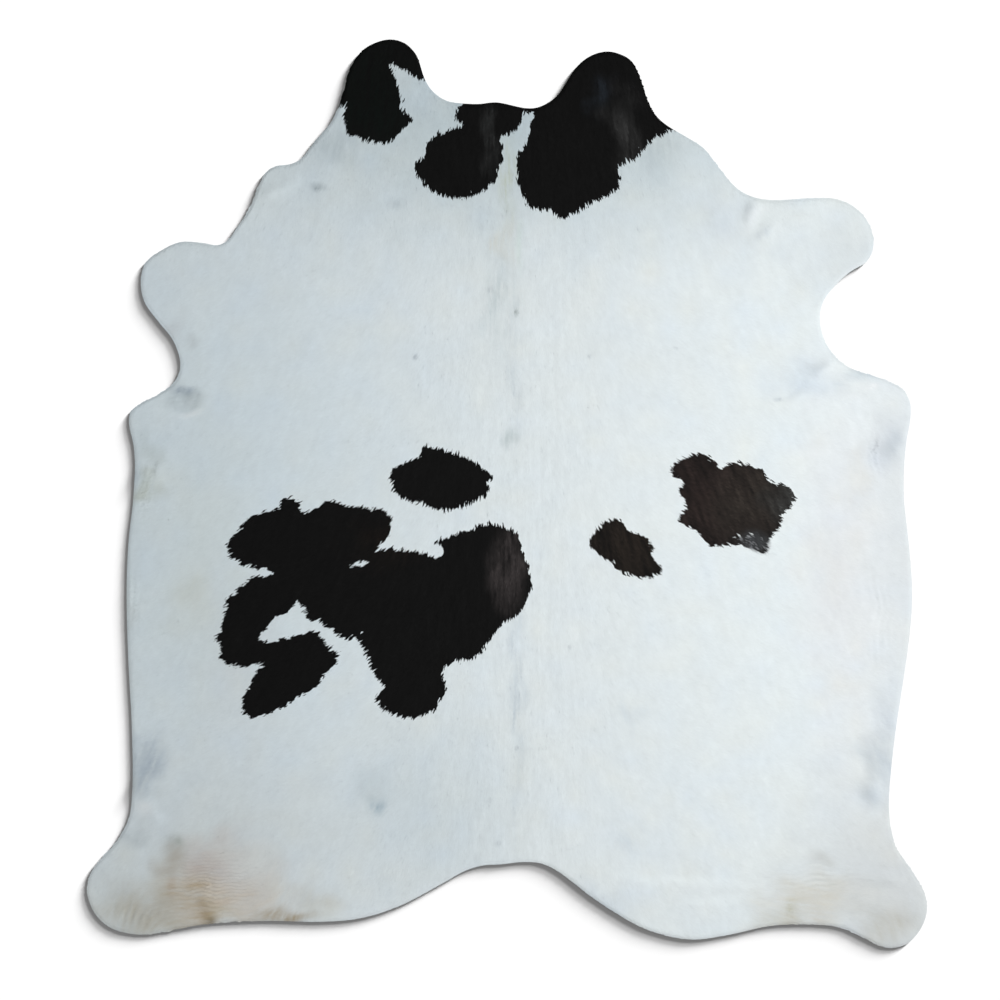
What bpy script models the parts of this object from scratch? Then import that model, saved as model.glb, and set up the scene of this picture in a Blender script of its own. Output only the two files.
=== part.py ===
"""Cowhide rug: one whole hair-on hide that lies flat, hair side up.

Metres, +Z up. The backbone runs along Y with the head end at +Y, the hide's box is
centred on the Z axis, and the flesh side rests on z = 0.
"""

import math
from collections import namedtuple

import bmesh
import bpy
from mathutils import Vector
from mathutils.geometry import delaunay_2d_cdt, intersect_point_line

Stretch = namedtuple("Stretch", "name points")
Fold = namedtuple("Fold", "name start end half_width height")

# Leather and hair
HIDE_AT_BACKBONE = 0.0026  # the leather is thickest along the back
HIDE_AT_BELLY = 0.0017  # and thinnest at the flanks and leg ends
BELLY_REACH = 0.90  # how far the belly lies from the backbone
COAT_DEPTH = 0.0032  # depth of the short hair as it lies
COAT_AT_CUT = 0.0008  # depth of the hair right over the knife cut
ROLL_WIDTH = 0.008  # the coat rounds down to the cut over this width
SHOULDER_WIDTH = 0.0025  # a ring halfway up the rounding: how far in from the cut
SHOULDER_SHARE = 0.70  # and how much of the coat's depth it reaches

# Mesh spacing
RIM_STEP = 0.015
FIELD_STEP = 0.062
FOLD_STEP = 0.022
FOLD_ROWS = (-1.0, -0.5, 0.0, 0.5, 1.0)  # rows of points across a fold, in half widths
FOLD_SETTLE = 0.030  # the cut lies on the floor, and a fold rises from it over this length
LEAST_GAP = 0.45  # least distance between field points, in spacings
SHARP_ANGLE = math.radians(50)  # the knife cut keeps its edges
# The blends of a Catmull-Rom curve, as pairs of knots
CURVE_SPANS = (((0, 1), (1, 2), (2, 3)), ((0, 2), (1, 3)), ((1, 2),))

COAT_COLOUR = (0.66, 0.71, 0.74, 1.0)
COAT_ROUGHNESS = 0.62

# The trimmed outline, anticlockwise from above, in stretches of (across, along):
# across is measured from the backbone to the hide's right in this view, and along from
# the tail root towards the head.
OUTLINE = (
    Stretch(
        "left ear",
        (
            (-0.237, 1.938),
            (-0.264, 1.965),
            (-0.298, 1.974),
            (-0.332, 1.967),
            (-0.366, 1.947),
            (-0.394, 1.906),
            (-0.413, 1.838),
        ),
    ),
    Stretch(
        "left cheek and neck",
        (
            (-0.435, 1.784),
            (-0.483, 1.725),
            (-0.515, 1.686),
            (-0.543, 1.674),
            (-0.570, 1.671),
            (-0.593, 1.659),
            (-0.610, 1.632),
            (-0.635, 1.569),
            (-0.668, 1.521),
            (-0.685, 1.496),
            (-0.710, 1.481),
        ),
    ),
    Stretch(
        "left fore leg",
        (
            (-0.750, 1.486),
            (-0.802, 1.488),
            (-0.848, 1.468),
            (-0.887, 1.435),
            (-0.897, 1.390),
            (-0.888, 1.344),
            (-0.854, 1.296),
            (-0.818, 1.249),
        ),
    ),
    Stretch(
        "left armpit",
        (
            (-0.802, 1.190),
            (-0.818, 1.149),
            (-0.848, 1.126),
            (-0.898, 1.100),
            (-0.922, 1.080),
            (-0.925, 1.050),
        ),
    ),
    Stretch(
        "left flank",
        (
            (-0.915, 1.004),
            (-0.911, 0.954),
            (-0.915, 0.874),
            (-0.927, 0.761),
            (-0.931, 0.638),
            (-0.927, 0.487),
            (-0.919, 0.334),
            (-0.917, 0.180),
        ),
    ),
    Stretch(
        "left hind leg",
        (
            (-0.924, 0.110),
            (-0.940, 0.073),
            (-0.964, 0.037),
            (-0.994, 0.005),
            (-1.018, -0.028),
            (-1.026, -0.070),
            (-1.014, -0.111),
            (-0.996, -0.137),
            (-0.968, -0.158),
            (-0.930, -0.170),
            (-0.885, -0.173),
        ),
    ),
    Stretch(
        "left rump",
        (
            (-0.816, -0.161),
            (-0.725, -0.146),
            (-0.610, -0.140),
            (-0.458, -0.142),
            (-0.372, -0.134),
            (-0.279, -0.105),
            (-0.173, -0.050),
            (-0.119, -0.020),
            (-0.075, -0.007),
            (-0.036, -0.005),
        ),
    ),
    Stretch(
        "right rump",
        (
            (0.022, 0.001),
            (0.065, -0.003),
            (0.103, -0.021),
            (0.195, -0.090),
            (0.287, -0.147),
            (0.332, -0.166),
            (0.422, -0.185),
            (0.516, -0.173),
            (0.614, -0.152),
            (0.698, -0.148),
            (0.783, -0.156),
            (0.847, -0.186),
        ),
    ),
    Stretch(
        "right hind leg",
        (
            (0.876, -0.200),
            (0.906, -0.205),
            (0.940, -0.196),
            (0.966, -0.171),
            (0.984, -0.137),
            (0.989, -0.107),
            (0.981, -0.070),
            (0.939, -0.002),
            (0.916, 0.032),
            (0.904, 0.071),
        ),
    ),
    Stretch(
        "right flank",
        (
            (0.898, 0.119),
            (0.899, 0.180),
            (0.916, 0.334),
            (0.928, 0.410),
            (0.949, 0.563),
            (0.953, 0.653),
            (0.946, 0.754),
            (0.934, 0.869),
            (0.934, 0.950),
            (0.940, 1.013),
        ),
    ),
    Stretch(
        "right armpit",
        (
            (0.949, 1.065),
            (0.948, 1.103),
            (0.931, 1.134),
            (0.905, 1.150),
            (0.866, 1.165),
            (0.814, 1.182),
            (0.775, 1.205),
            (0.749, 1.239),
            (0.735, 1.276),
            (0.732, 1.315),
            (0.743, 1.351),
            (0.769, 1.384),
        ),
    ),
    Stretch(
        "right fore leg",
        (
            (0.805, 1.417),
            (0.845, 1.442),
            (0.860, 1.476),
            (0.857, 1.510),
            (0.841, 1.546),
            (0.807, 1.577),
            (0.768, 1.592),
            (0.722, 1.594),
            (0.614, 1.589),
            (0.569, 1.597),
            (0.535, 1.615),
        ),
    ),
    Stretch(
        "right neck and cheek",
        (
            (0.509, 1.642),
            (0.484, 1.674),
            (0.454, 1.712),
            (0.415, 1.738),
            (0.377, 1.760),
            (0.353, 1.777),
        ),
    ),
    Stretch(
        "right ear",
        (
            (0.333, 1.799),
            (0.316, 1.835),
            (0.303, 1.875),
            (0.281, 1.921),
            (0.254, 1.938),
            (0.224, 1.945),
            (0.192, 1.939),
            (0.164, 1.923),
            (0.142, 1.900),
            (0.104, 1.842),
            (0.081, 1.823),
        ),
    ),
    Stretch(
        "poll",
        (
            (0.055, 1.811),
            (0.028, 1.809),
            (-0.045, 1.823),
            (-0.090, 1.819),
            (-0.161, 1.826),
            (-0.186, 1.840),
            (-0.204, 1.858),
            (-0.218, 1.884),
            (-0.227, 1.913),
        ),
    ),
)

# Low creases that the hide keeps when it lies flat, as ridges of the whole sheet
FOLDS = (
    Fold("right shoulder crease", (0.582, 1.592), (0.545, 1.495), 0.018, 0.0062),
    Fold("second shoulder crease", (0.636, 1.540), (0.552, 1.470), 0.016, 0.0050),
    Fold("right armpit crease", (0.772, 1.208), (0.640, 1.100), 0.024, 0.0072),
    Fold("left armpit crease", (-0.820, 1.150), (-0.735, 1.106), 0.020, 0.0062),
    Fold("left neck crease", (-0.612, 1.594), (-0.500, 1.640), 0.016, 0.0044),
    Fold("left flank swell", (-0.914, 0.935), (-0.835, 0.905), 0.034, 0.0055),
    Fold("left stifle crease", (-0.920, 0.165), (-0.805, 0.225), 0.028, 0.0066),
    Fold("right flank swell", (0.938, 1.000), (0.835, 0.965), 0.034, 0.0055),
    Fold("right stifle crease", (0.898, 0.140), (0.800, 0.225), 0.028, 0.0066),
    Fold("right hock ripple", (0.935, -0.045), (0.720, -0.020), 0.020, 0.0036),
)


def clear_scene():
    """Empties the scene before the hide is made."""
    for old in list(bpy.data.objects):
        bpy.data.objects.remove(old, do_unlink=True)


def knots():
    """The outline's own points in order, all stretches joined."""
    return [Vector(point) for stretch in OUTLINE for point in stretch.points]


def curve_point(row, share):
    """A point between row's two middle points on the centripetal Catmull-Rom curve."""
    times = [0.0]
    for a, b in zip(row, row[1:]):
        times.append(times[-1] + math.sqrt((b - a).length))
    t = times[1] + share * (times[2] - times[1])
    for spans in CURVE_SPANS:
        row = [
            row[i].lerp(row[i + 1], (t - times[a]) / (times[b] - times[a]))
            for i, (a, b) in enumerate(spans)
        ]
    return row[0]


def smooth_outline():
    """The knife cut as a closed loop of points about RIM_STEP apart."""
    points = knots()
    count = len(points)
    loop = []
    for i in range(count):
        row = [points[(i + k) % count] for k in (-1, 0, 1, 2)]
        steps = max(1, round((row[2] - row[1]).length / RIM_STEP))
        loop += [curve_point(row, k / steps) for k in range(steps)]
    return loop


def inset(loop, distance):
    """The loop moved inwards by a distance, point by point."""
    moved = []
    for i, point in enumerate(loop):
        along = (loop[(i + 1) % len(loop)] - loop[i - 1]).normalized()
        moved.append(point + Vector((-along.y, along.x)) * distance)
    return moved


def inside(place, loop):
    """True if the place lies inside the loop."""
    found = False
    for i, b in enumerate(loop):
        a = loop[i - 1]
        if (a.y > place.y) != (b.y > place.y):
            if place.x < a.x + (place.y - a.y) / (b.y - a.y) * (b.x - a.x):
                found = not found
    return found


def smooth_fall(share):
    """1 at 0 and 0 from 1 on, level at both ends."""
    return 0.5 + 0.5 * math.cos(math.pi * min(max(share, 0.0), 1.0))


def fold_rise(fold, place):
    """How far one crease lifts the sheet here. It rises from the cut, then fades inwards."""
    start, end = Vector(fold.start), Vector(fold.end)
    nearest, share = intersect_point_line(place, start, end)
    rise = 1.0 - smooth_fall(share * (end - start).length / FOLD_SETTLE)
    across = smooth_fall((place - nearest.xy).length / fold.half_width)
    return fold.height * rise * smooth_fall(share) * across


def flesh_side(place):
    """Height of the underside: 0, but for the creases."""
    return max(fold_rise(fold, place) for fold in FOLDS)


def leather(place):
    """Thickness of the leather, which thins from the backbone to the belly."""
    share = min(abs(place.x) / BELLY_REACH, 1.0)
    return HIDE_AT_BACKBONE + (HIDE_AT_BELLY - HIDE_AT_BACKBONE) * share * share


def hair_side(place, coat):
    """Height of the top where the hair lies this deep."""
    return flesh_side(place) + leather(place) + coat


def field_points(rim):
    """Points for the sheet's middle: rows along each crease, then an even field."""
    wanted = []
    for fold in FOLDS:
        start, end = Vector(fold.start), Vector(fold.end)
        run = end - start
        side = Vector((-run.y, run.x)).normalized() * fold.half_width
        steps = max(2, round(run.length / FOLD_STEP))
        wanted += [
            (start + run * (k / steps) + side * row, FOLD_STEP * LEAST_GAP)
            for k in range(steps + 1)
            for row in FOLD_ROWS
        ]
    low_x, high_x = min(p.x for p in rim), max(p.x for p in rim)
    low_y, high_y = min(p.y for p in rim), max(p.y for p in rim)
    row_height = FIELD_STEP * math.sqrt(3) / 2
    for row in range(math.ceil((high_y - low_y) / row_height)):
        shift = FIELD_STEP / 2 * (row % 2)
        for column in range(math.ceil((high_x - low_x) / FIELD_STEP)):
            spot = Vector((low_x + shift + column * FIELD_STEP, low_y + row * row_height))
            wanted.append((spot, FIELD_STEP * LEAST_GAP))
    kept = []
    for place, gap in wanted:
        crowded = any((place - other).length < gap for other in kept + rim)
        if not crowded and inside(place, rim):
            kept.append(place)
    return kept


def add_layer(mesh, places, heights):
    """New vertices at these places and heights."""
    return [mesh.verts.new((p.x, p.y, z)) for p, z in zip(places, heights)]


def bridge(mesh, lower, upper):
    """A band of quads from one ring of vertices to the next one inwards or upwards."""
    for i in range(len(lower)):
        mesh.faces.new((lower[i - 1], lower[i], upper[i], upper[i - 1]))


def build_sheet():
    """The hide as one closed sheet with a knife cut all round."""
    cut = smooth_outline()
    shoulder = inset(cut, SHOULDER_WIDTH)
    rim = inset(cut, ROLL_WIDTH)
    count = len(rim)
    loose = rim + field_points(rim)
    ring = list(range(count))
    places, _, faces, *_ = delaunay_2d_cdt(loose, [], [ring], 1, 1e-7)
    if len(places) != len(loose):
        raise ValueError("the hide's outline crosses itself")

    mesh = bmesh.new()
    cut_low = add_layer(mesh, cut, [flesh_side(p) for p in cut])
    cut_high = add_layer(mesh, cut, [hair_side(p, COAT_AT_CUT) for p in cut])
    middle = [hair_side(p, COAT_DEPTH * SHOULDER_SHARE) for p in shoulder]
    shoulder_high = add_layer(mesh, shoulder, middle)
    under = add_layer(mesh, places, [flesh_side(p) for p in places])
    over = add_layer(mesh, places, [hair_side(p, COAT_DEPTH) for p in places])
    bridge(mesh, cut_low, cut_high)
    bridge(mesh, cut_high, shoulder_high)
    bridge(mesh, shoulder_high, over[:count])
    bridge(mesh, under[:count], cut_low)
    for face in faces:
        mesh.faces.new([over[i] for i in face])
        mesh.faces.new([under[i] for i in reversed(face)])
    bmesh.ops.recalc_face_normals(mesh, faces=mesh.faces)
    return mesh


def centre_on_origin(mesh):
    """Moves the sheet so that its box is centred over the origin, along X and Y."""
    xs = [v.co.x for v in mesh.verts]
    ys = [v.co.y for v in mesh.verts]
    middle = Vector((min(xs) + max(xs), min(ys) + max(ys), 0.0)) / 2
    bmesh.ops.translate(mesh, verts=mesh.verts, vec=-middle)


def coat_material():
    """The white coat's plain colour and dull sheen."""
    material = bpy.data.materials.new("white hair coat")
    material.use_nodes = True
    shader = material.node_tree.nodes["Principled BSDF"]
    shader.inputs["Base Color"].default_value = COAT_COLOUR
    shader.inputs["Roughness"].default_value = COAT_ROUGHNESS
    shader.inputs["Metallic"].default_value = 0.0
    return material


def make_hide():
    """Builds the one piece of the rug."""
    sheet = build_sheet()
    centre_on_origin(sheet)
    data = bpy.data.meshes.new("hide")
    sheet.to_mesh(data)
    sheet.free()
    data.shade_smooth()
    data.set_sharp_from_angle(angle=SHARP_ANGLE)
    hide = bpy.data.objects.new("hide", data)
    hide.data.materials.append(coat_material())
    bpy.context.scene.collection.objects.link(hide)


clear_scene()
make_hide()
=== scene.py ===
"""Looks of a cowhide rug: the tanned skin, its short lying coat in separate locks, the dark
patches and the stains of the animal, on a plain white floor.

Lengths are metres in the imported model's frame: +Y runs to the head end, +X to the right
of that in plan, +Z up out of the hair. Colours are sRGB hex values.
"""

import logging
import math
from dataclasses import dataclass, field
from enum import Enum
from typing import Iterator

import bpy
import numpy as np
from mathutils.bvhtree import BVHTree
from mathutils.geometry import delaunay_2d_cdt
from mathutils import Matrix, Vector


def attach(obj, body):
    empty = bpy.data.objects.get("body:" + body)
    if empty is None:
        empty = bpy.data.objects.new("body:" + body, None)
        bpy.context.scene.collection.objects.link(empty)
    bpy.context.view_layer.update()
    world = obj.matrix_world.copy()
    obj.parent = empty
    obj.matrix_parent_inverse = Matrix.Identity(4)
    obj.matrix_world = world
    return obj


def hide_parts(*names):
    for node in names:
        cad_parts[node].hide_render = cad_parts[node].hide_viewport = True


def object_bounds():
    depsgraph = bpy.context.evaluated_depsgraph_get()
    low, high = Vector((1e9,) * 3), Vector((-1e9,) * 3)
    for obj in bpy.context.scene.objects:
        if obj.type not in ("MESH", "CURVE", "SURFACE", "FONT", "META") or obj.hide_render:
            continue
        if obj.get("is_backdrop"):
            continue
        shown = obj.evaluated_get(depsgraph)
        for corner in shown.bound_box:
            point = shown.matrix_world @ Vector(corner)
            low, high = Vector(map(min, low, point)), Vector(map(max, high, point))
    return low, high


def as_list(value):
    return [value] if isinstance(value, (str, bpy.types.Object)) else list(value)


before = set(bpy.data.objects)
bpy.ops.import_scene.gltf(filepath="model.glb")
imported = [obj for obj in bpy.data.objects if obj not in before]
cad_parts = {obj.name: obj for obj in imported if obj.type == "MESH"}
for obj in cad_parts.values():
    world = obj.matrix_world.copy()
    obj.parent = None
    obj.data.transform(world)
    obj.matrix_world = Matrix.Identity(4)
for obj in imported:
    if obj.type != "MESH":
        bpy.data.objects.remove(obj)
CAD_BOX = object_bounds()

Array = np.ndarray
Colour = tuple[float, float, float]
Sockets = dict[str | int, object]  # by name or number, a value or the output that feeds it
log = logging.getLogger("cowhide")

HIDE_NODE = "hide"
BODY = "root"
BACKBONE_X = 0.019  # the backbone's line, from the middle of the box
BAKE_MAP = "OFBake"
STRAND_MAP = "Strand"
COAT_COLOUR = "coat_colour"
FAR = 9.0  # beyond the hide on any side
TINY = 1e-12  # stands in for 0 under a fraction
KEEP_INSIDE = 1  # has the triangulation leave out what lies beyond the cut
WHITE = (1.0, 1.0, 1.0, 1.0)
MIX_SHARE, MIX_UNDER, MIX_OVER, MIXED_COLOUR = 0, 6, 7, 2  # a Mix node's colour sockets


# ---------------------------------------------------------------- small tools


def linear(code: str) -> Colour:
    """Turns an sRGB hex value to linear light.

    Args:
        code: the colour as "#rrggbb".

    Returns:
        Red, green and blue from 0 to 1.
    """
    parts = [int(code[i : i + 2], 16) / 255 for i in (1, 3, 5)]
    return tuple(c / 12.92 if c <= 0.04045 else ((c + 0.055) / 1.055) ** 2.4 for c in parts)


def ease(share: Array) -> Array:
    """0 below 0, 1 above 1, and a smooth step between."""
    t = np.clip(share, 0.0, 1.0)
    return t * t * (3 - 2 * t)


def add_node(
    tree: bpy.types.NodeTree, kind: str, inputs: Sockets | None = None, **settings: object
) -> bpy.types.Node:
    """Adds a node with its settings and links.

    Args:
        tree: the node tree it goes in.
        kind: the node's Blender type name.
        inputs: what goes into its sockets.
        **settings: the node's own properties.

    Returns:
        The new node.
    """
    node = tree.nodes.new(kind)
    for name, value in settings.items():
        setattr(node, name, value)
    for name, value in (inputs or {}).items():
        if isinstance(value, bpy.types.NodeSocket):
            tree.links.new(value, node.inputs[name])
        else:
            node.inputs[name].default_value = value
    return node


def new_material(name: str) -> tuple[bpy.types.Material, bpy.types.NodeTree]:
    """Makes a material with an empty node tree.

    Args:
        name: what the real material is called.

    Returns:
        The material and its tree.
    """
    material = bpy.data.materials.new(name)
    material.use_nodes = True
    material.node_tree.nodes.clear()
    return material, material.node_tree


def link(thing: bpy.types.Object) -> bpy.types.Object:
    """Puts an object in the scene."""
    bpy.context.scene.collection.objects.link(thing)
    return thing


def smooth_loop(knots: Array, spans: int) -> Array:
    """A closed, smooth line through the knots, as a Catmull-Rom curve.

    Args:
        knots: the points it goes through, in order.
        spans: how many points it has for each knot.

    Returns:
        The points of the line.
    """
    before, after = np.roll(knots, 1, 0), np.roll(knots, -1, 0)
    beyond = np.roll(knots, -2, 0)
    t = (np.arange(spans) / spans)[None, :, None]
    a, b, c, d = (k[:, None, :] for k in (before, knots, after, beyond))
    line = b + 0.5 * t * (c - a + t * (2 * a - 5 * b + 4 * c - d + t * (3 * (b - c) + d - a)))
    return line.reshape(-1, 2)


def depth_inside(points: Array, loop: Array, chunk: int = 16000) -> Array:
    """How far each point lies inside a closed line.

    Args:
        points: places in plan.
        loop: the closed line's points, in order.
        chunk: how many points are worked out at once.

    Returns:
        The distance from the line, above 0 inside it and below 0 outside.
    """
    start, run = loop, np.roll(loop, -1, 0) - loop
    length = np.maximum((run**2).sum(1), TINY)
    rise = np.where(np.abs(run[:, 1]) < TINY, TINY, run[:, 1])
    found = np.empty(len(points))
    for first in range(0, len(points), chunk):
        part = points[first : first + chunk, None, :] - start
        share = np.clip((part * run).sum(2) / length, 0, 1)
        away = np.sqrt(((part - share[..., None] * run) ** 2).sum(2).min(1))
        level = (part[..., 1] < 0) != (part[..., 1] < run[:, 1])
        crossed = level & (part[..., 0] < part[..., 1] / rise * run[:, 0])
        found[first : first + chunk] = np.where(crossed.sum(1) % 2 == 1, away, -away)
    return found


def hex_field(low: Array, high: Array, spacing: float) -> Array:
    """Fills a box with points in staggered rows.

    Args:
        low: its lower left corner.
        high: its upper right corner.
        spacing: how far apart the points are.

    Returns:
        The points in plan.
    """
    row_step = spacing * math.sqrt(3) / 2
    rows = np.arange(low[1], high[1], row_step)
    columns = np.arange(low[0], high[0], spacing)
    x, y = np.meshgrid(columns, rows)
    x = x + (np.arange(len(rows)) % 2)[:, None] * spacing / 2
    return np.stack([x.ravel(), y.ravel()], 1)


def triangle_mesh(name: str, corners: Array, triangles: Array) -> bpy.types.Mesh:
    """Makes a mesh.

    Args:
        name: what it is called.
        corners: a place for each corner.
        triangles: three corner numbers for each face.

    Returns:
        The new mesh.
    """
    mesh = bpy.data.meshes.new(name)
    mesh.vertices.add(len(corners))
    mesh.vertices.foreach_set("co", corners.astype(np.float32).ravel())
    mesh.loops.add(triangles.size)
    mesh.loops.foreach_set("vertex_index", triangles.astype(np.int32).ravel())
    mesh.polygons.add(len(triangles))
    mesh.polygons.foreach_set("loop_start", np.arange(0, triangles.size, 3, dtype=np.int32))
    mesh.update(calc_edges=True)
    mesh.validate()
    return mesh


def write_shades(mesh: bpy.types.Mesh, shades: Array) -> None:
    """Stores the coat's colour in a mesh.

    Args:
        mesh: the mesh.
        shades: a colour for each of its corners.
    """
    layer = mesh.color_attributes.new(COAT_COLOUR, "FLOAT_COLOR", "POINT")
    full = np.column_stack([shades, np.ones(len(shades))]).astype(np.float32)
    layer.data.foreach_set("color", full.ravel())


@dataclass
class PlanGrid:
    """Values at the crossings of a square grid over the plan, read smoothly between them."""

    low: Array
    step: float
    values: Array
    spare: int = 2  # steps that the grid has outside its box on each side
    margin: float = 0.001  # places stay this far short of the last line, in steps

    @classmethod
    def over(cls, low: Array, high: Array, step: float) -> "PlanGrid":
        """An empty grid that covers a box with a few steps to spare."""
        columns, rows = np.ceil((high - low) / step).astype(int) + 2 * cls.spare + 1
        return cls(low - cls.spare * step, step, np.zeros((rows, columns)))

    def roughen(self, rng: np.random.Generator) -> None:
        """Fills the grid with random values that have a spread of 1."""
        self.values = rng.standard_normal(self.values.shape)

    def crossings(self) -> Array:
        """Lists the crossings.

        Returns:
            The place of every crossing, row by row.
        """
        rows, columns = self.values.shape
        x, y = np.meshgrid(np.arange(columns), np.arange(rows))
        return self.low + self.step * np.stack([x.ravel(), y.ravel()], 1)

    def at(self, points: Array) -> Array:
        """Reads the grid from the four crossings round each point.

        Args:
            points: places in plan.

        Returns:
            The value at each of them.
        """
        rows, columns = self.values.shape
        last = np.array([columns, rows]) - 1
        place = np.clip((points - self.low) / self.step, 0, last - self.margin)
        cell = place.astype(int)
        u, v = (place - cell).T
        x, y = cell.T
        lower = self.values[y, x] * (1 - u) + self.values[y, x + 1] * u
        upper = self.values[y + 1, x] * (1 - u) + self.values[y + 1, x + 1] * u
        return lower * (1 - v) + upper * v

    def blur(self, passes: int) -> None:
        """Evens the values out over their neighbours.

        Args:
            passes: how many times.
        """
        for _ in range(passes):
            for axis in (0, 1):
                before = np.roll(self.values, 1, axis)
                after = np.roll(self.values, -1, axis)
                self.values = 0.5 * self.values + 0.25 * (before + after)


# ------------------------------------------------------- where the hair lies


@dataclass(frozen=True)
class CrossLie:
    """A soft-edged place where the coat lies more across the hide, as over a hock."""

    name: str
    x: float
    y: float
    half_across: float
    half_along: float
    turn: float  # radians away from the tail end


CROSS_LIES = (
    CrossLie("left hock", -0.715, -0.960, 0.200, 0.170, math.radians(88)),
    CrossLie("right hock", 0.740, -0.950, 0.260, 0.130, math.radians(82)),
)


@dataclass(frozen=True)
class HairFlow:
    """Which way the coat lies. It runs from head to tail along the backbone and turns out
    and down over the flanks, as on the standing animal."""

    parting: float = 0.030  # hair within this of the backbone runs straight to the tail
    turned: float = 0.420  # by here it has turned to the flank
    flank_turn: float = math.radians(60)
    neck_turn: float = math.radians(24)
    leg_turn: float = math.radians(46)
    neck_from: float = 0.42
    neck_to: float = 0.74
    leg_from: float = -0.66
    leg_to: float = -0.90
    cross_edge: float = 1.8  # how steeply the coat turns at the edge of a cross lie

    def directions(self, points: Array, share: float = 1.0) -> Array:
        """The way the hair points at each place, as unit vectors in plan.

        Args:
            points: places in plan.
            share: how much of the turn away from the backbone is taken.

        Returns:
            A unit vector for each place.
        """
        across = points[:, 0] - BACKBONE_X
        neck = ease((points[:, 1] - self.neck_from) / (self.neck_to - self.neck_from))
        leg = ease((points[:, 1] - self.leg_from) / (self.leg_to - self.leg_from))
        most = self.flank_turn + (self.neck_turn - self.flank_turn) * neck
        most = most + (self.leg_turn - self.flank_turn) * leg
        turn = share * most * ease((np.abs(across) - self.parting) / (self.turned - self.parting))
        for lie in CROSS_LIES:
            offset = (points - [lie.x, lie.y]) / [lie.half_across, lie.half_along]
            away = np.hypot(offset[:, 0], offset[:, 1])
            turn = turn + (lie.turn - turn) * ease(self.cross_edge * (1 - away))
        return np.stack([np.sign(across) * np.sin(turn), -np.cos(turn)], 1)


@dataclass(frozen=True)
class Ripple:
    """Fine wrinkles that run side by side over one soft-edged patch of the hide."""

    name: str
    x: float
    y: float
    half_across: float
    half_along: float
    turn: float  # degrees from lines that run along X
    pitch: float
    height: float


@dataclass(frozen=True)
class Crease:
    """One soft ridge, or a trough where its height is below 0, from start to end."""

    name: str
    start: tuple[float, float]
    end: tuple[float, float]
    half_width: float
    height: float


RIPPLES = (
    Ripple("wrinkles over the stained hock", -0.715, -0.945, 0.160, 0.120, 4, 0.0092, 0.00046),
    Ripple("gathers at the leg's end", -0.880, -1.010, 0.100, 0.040, 90, 0.0180, 0.00040),
    Ripple("wrinkles over the right hock", 0.750, -0.925, 0.130, 0.060, 8, 0.0130, 0.00035),
    Ripple("gathers below them", 0.680, -1.005, 0.034, 0.034, 92, 0.0150, 0.00055),
    Ripple("gathers in the left armpit", -0.770, 0.228, 0.052, 0.034, -6, 0.0100, 0.00050),
    Ripple("left flank wrinkles", -0.868, 0.020, 0.036, 0.130, 84, 0.0140, 0.00040),
    Ripple("left belly wrinkles", -0.900, -0.270, 0.040, 0.120, 88, 0.0150, 0.00040),
    Ripple("right flank wrinkles", 0.880, 0.110, 0.030, 0.120, 96, 0.0150, 0.00040),
    Ripple("right belly wrinkles", 0.895, -0.300, 0.045, 0.160, 92, 0.0170, 0.00035),
)

CREASES = (
    Crease("right shoulder valley", (0.575, 0.705), (0.566, 0.645), 0.022, -0.0007),
    Crease("right armpit branch", (0.740, 0.275), (0.655, 0.215), 0.016, -0.0007),
    Crease("right armpit, upper branch", (0.780, 0.310), (0.690, 0.300), 0.016, -0.0005),
    Crease("left armpit hollow", (-0.800, 0.255), (-0.745, 0.205), 0.018, -0.0005),
    Crease("left armpit, lower branch", (-0.790, 0.235), (-0.700, 0.235), 0.014, -0.0005),
    Crease("left neck ridge", (-0.580, 0.712), (-0.485, 0.765), 0.032, 0.0006),
    Crease("right groin line", (0.220, -0.915), (0.640, -0.948), 0.022, 0.0005),
    Crease("second groin line", (0.400, -0.985), (0.640, -0.975), 0.018, 0.0004),
    Crease("left flank band", (-0.860, -0.720), (-0.830, -0.800), 0.026, 0.0008),
    Crease("right flank band", (0.905, -0.640), (0.875, -0.800), 0.026, 0.0007),
    Crease("right flank trough", (0.870, -0.610), (0.850, -0.740), 0.022, -0.0007),
    Crease("ripple over the left hip", (-0.280, -0.640), (-0.250, -0.710), 0.012, -0.0004),
)


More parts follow.
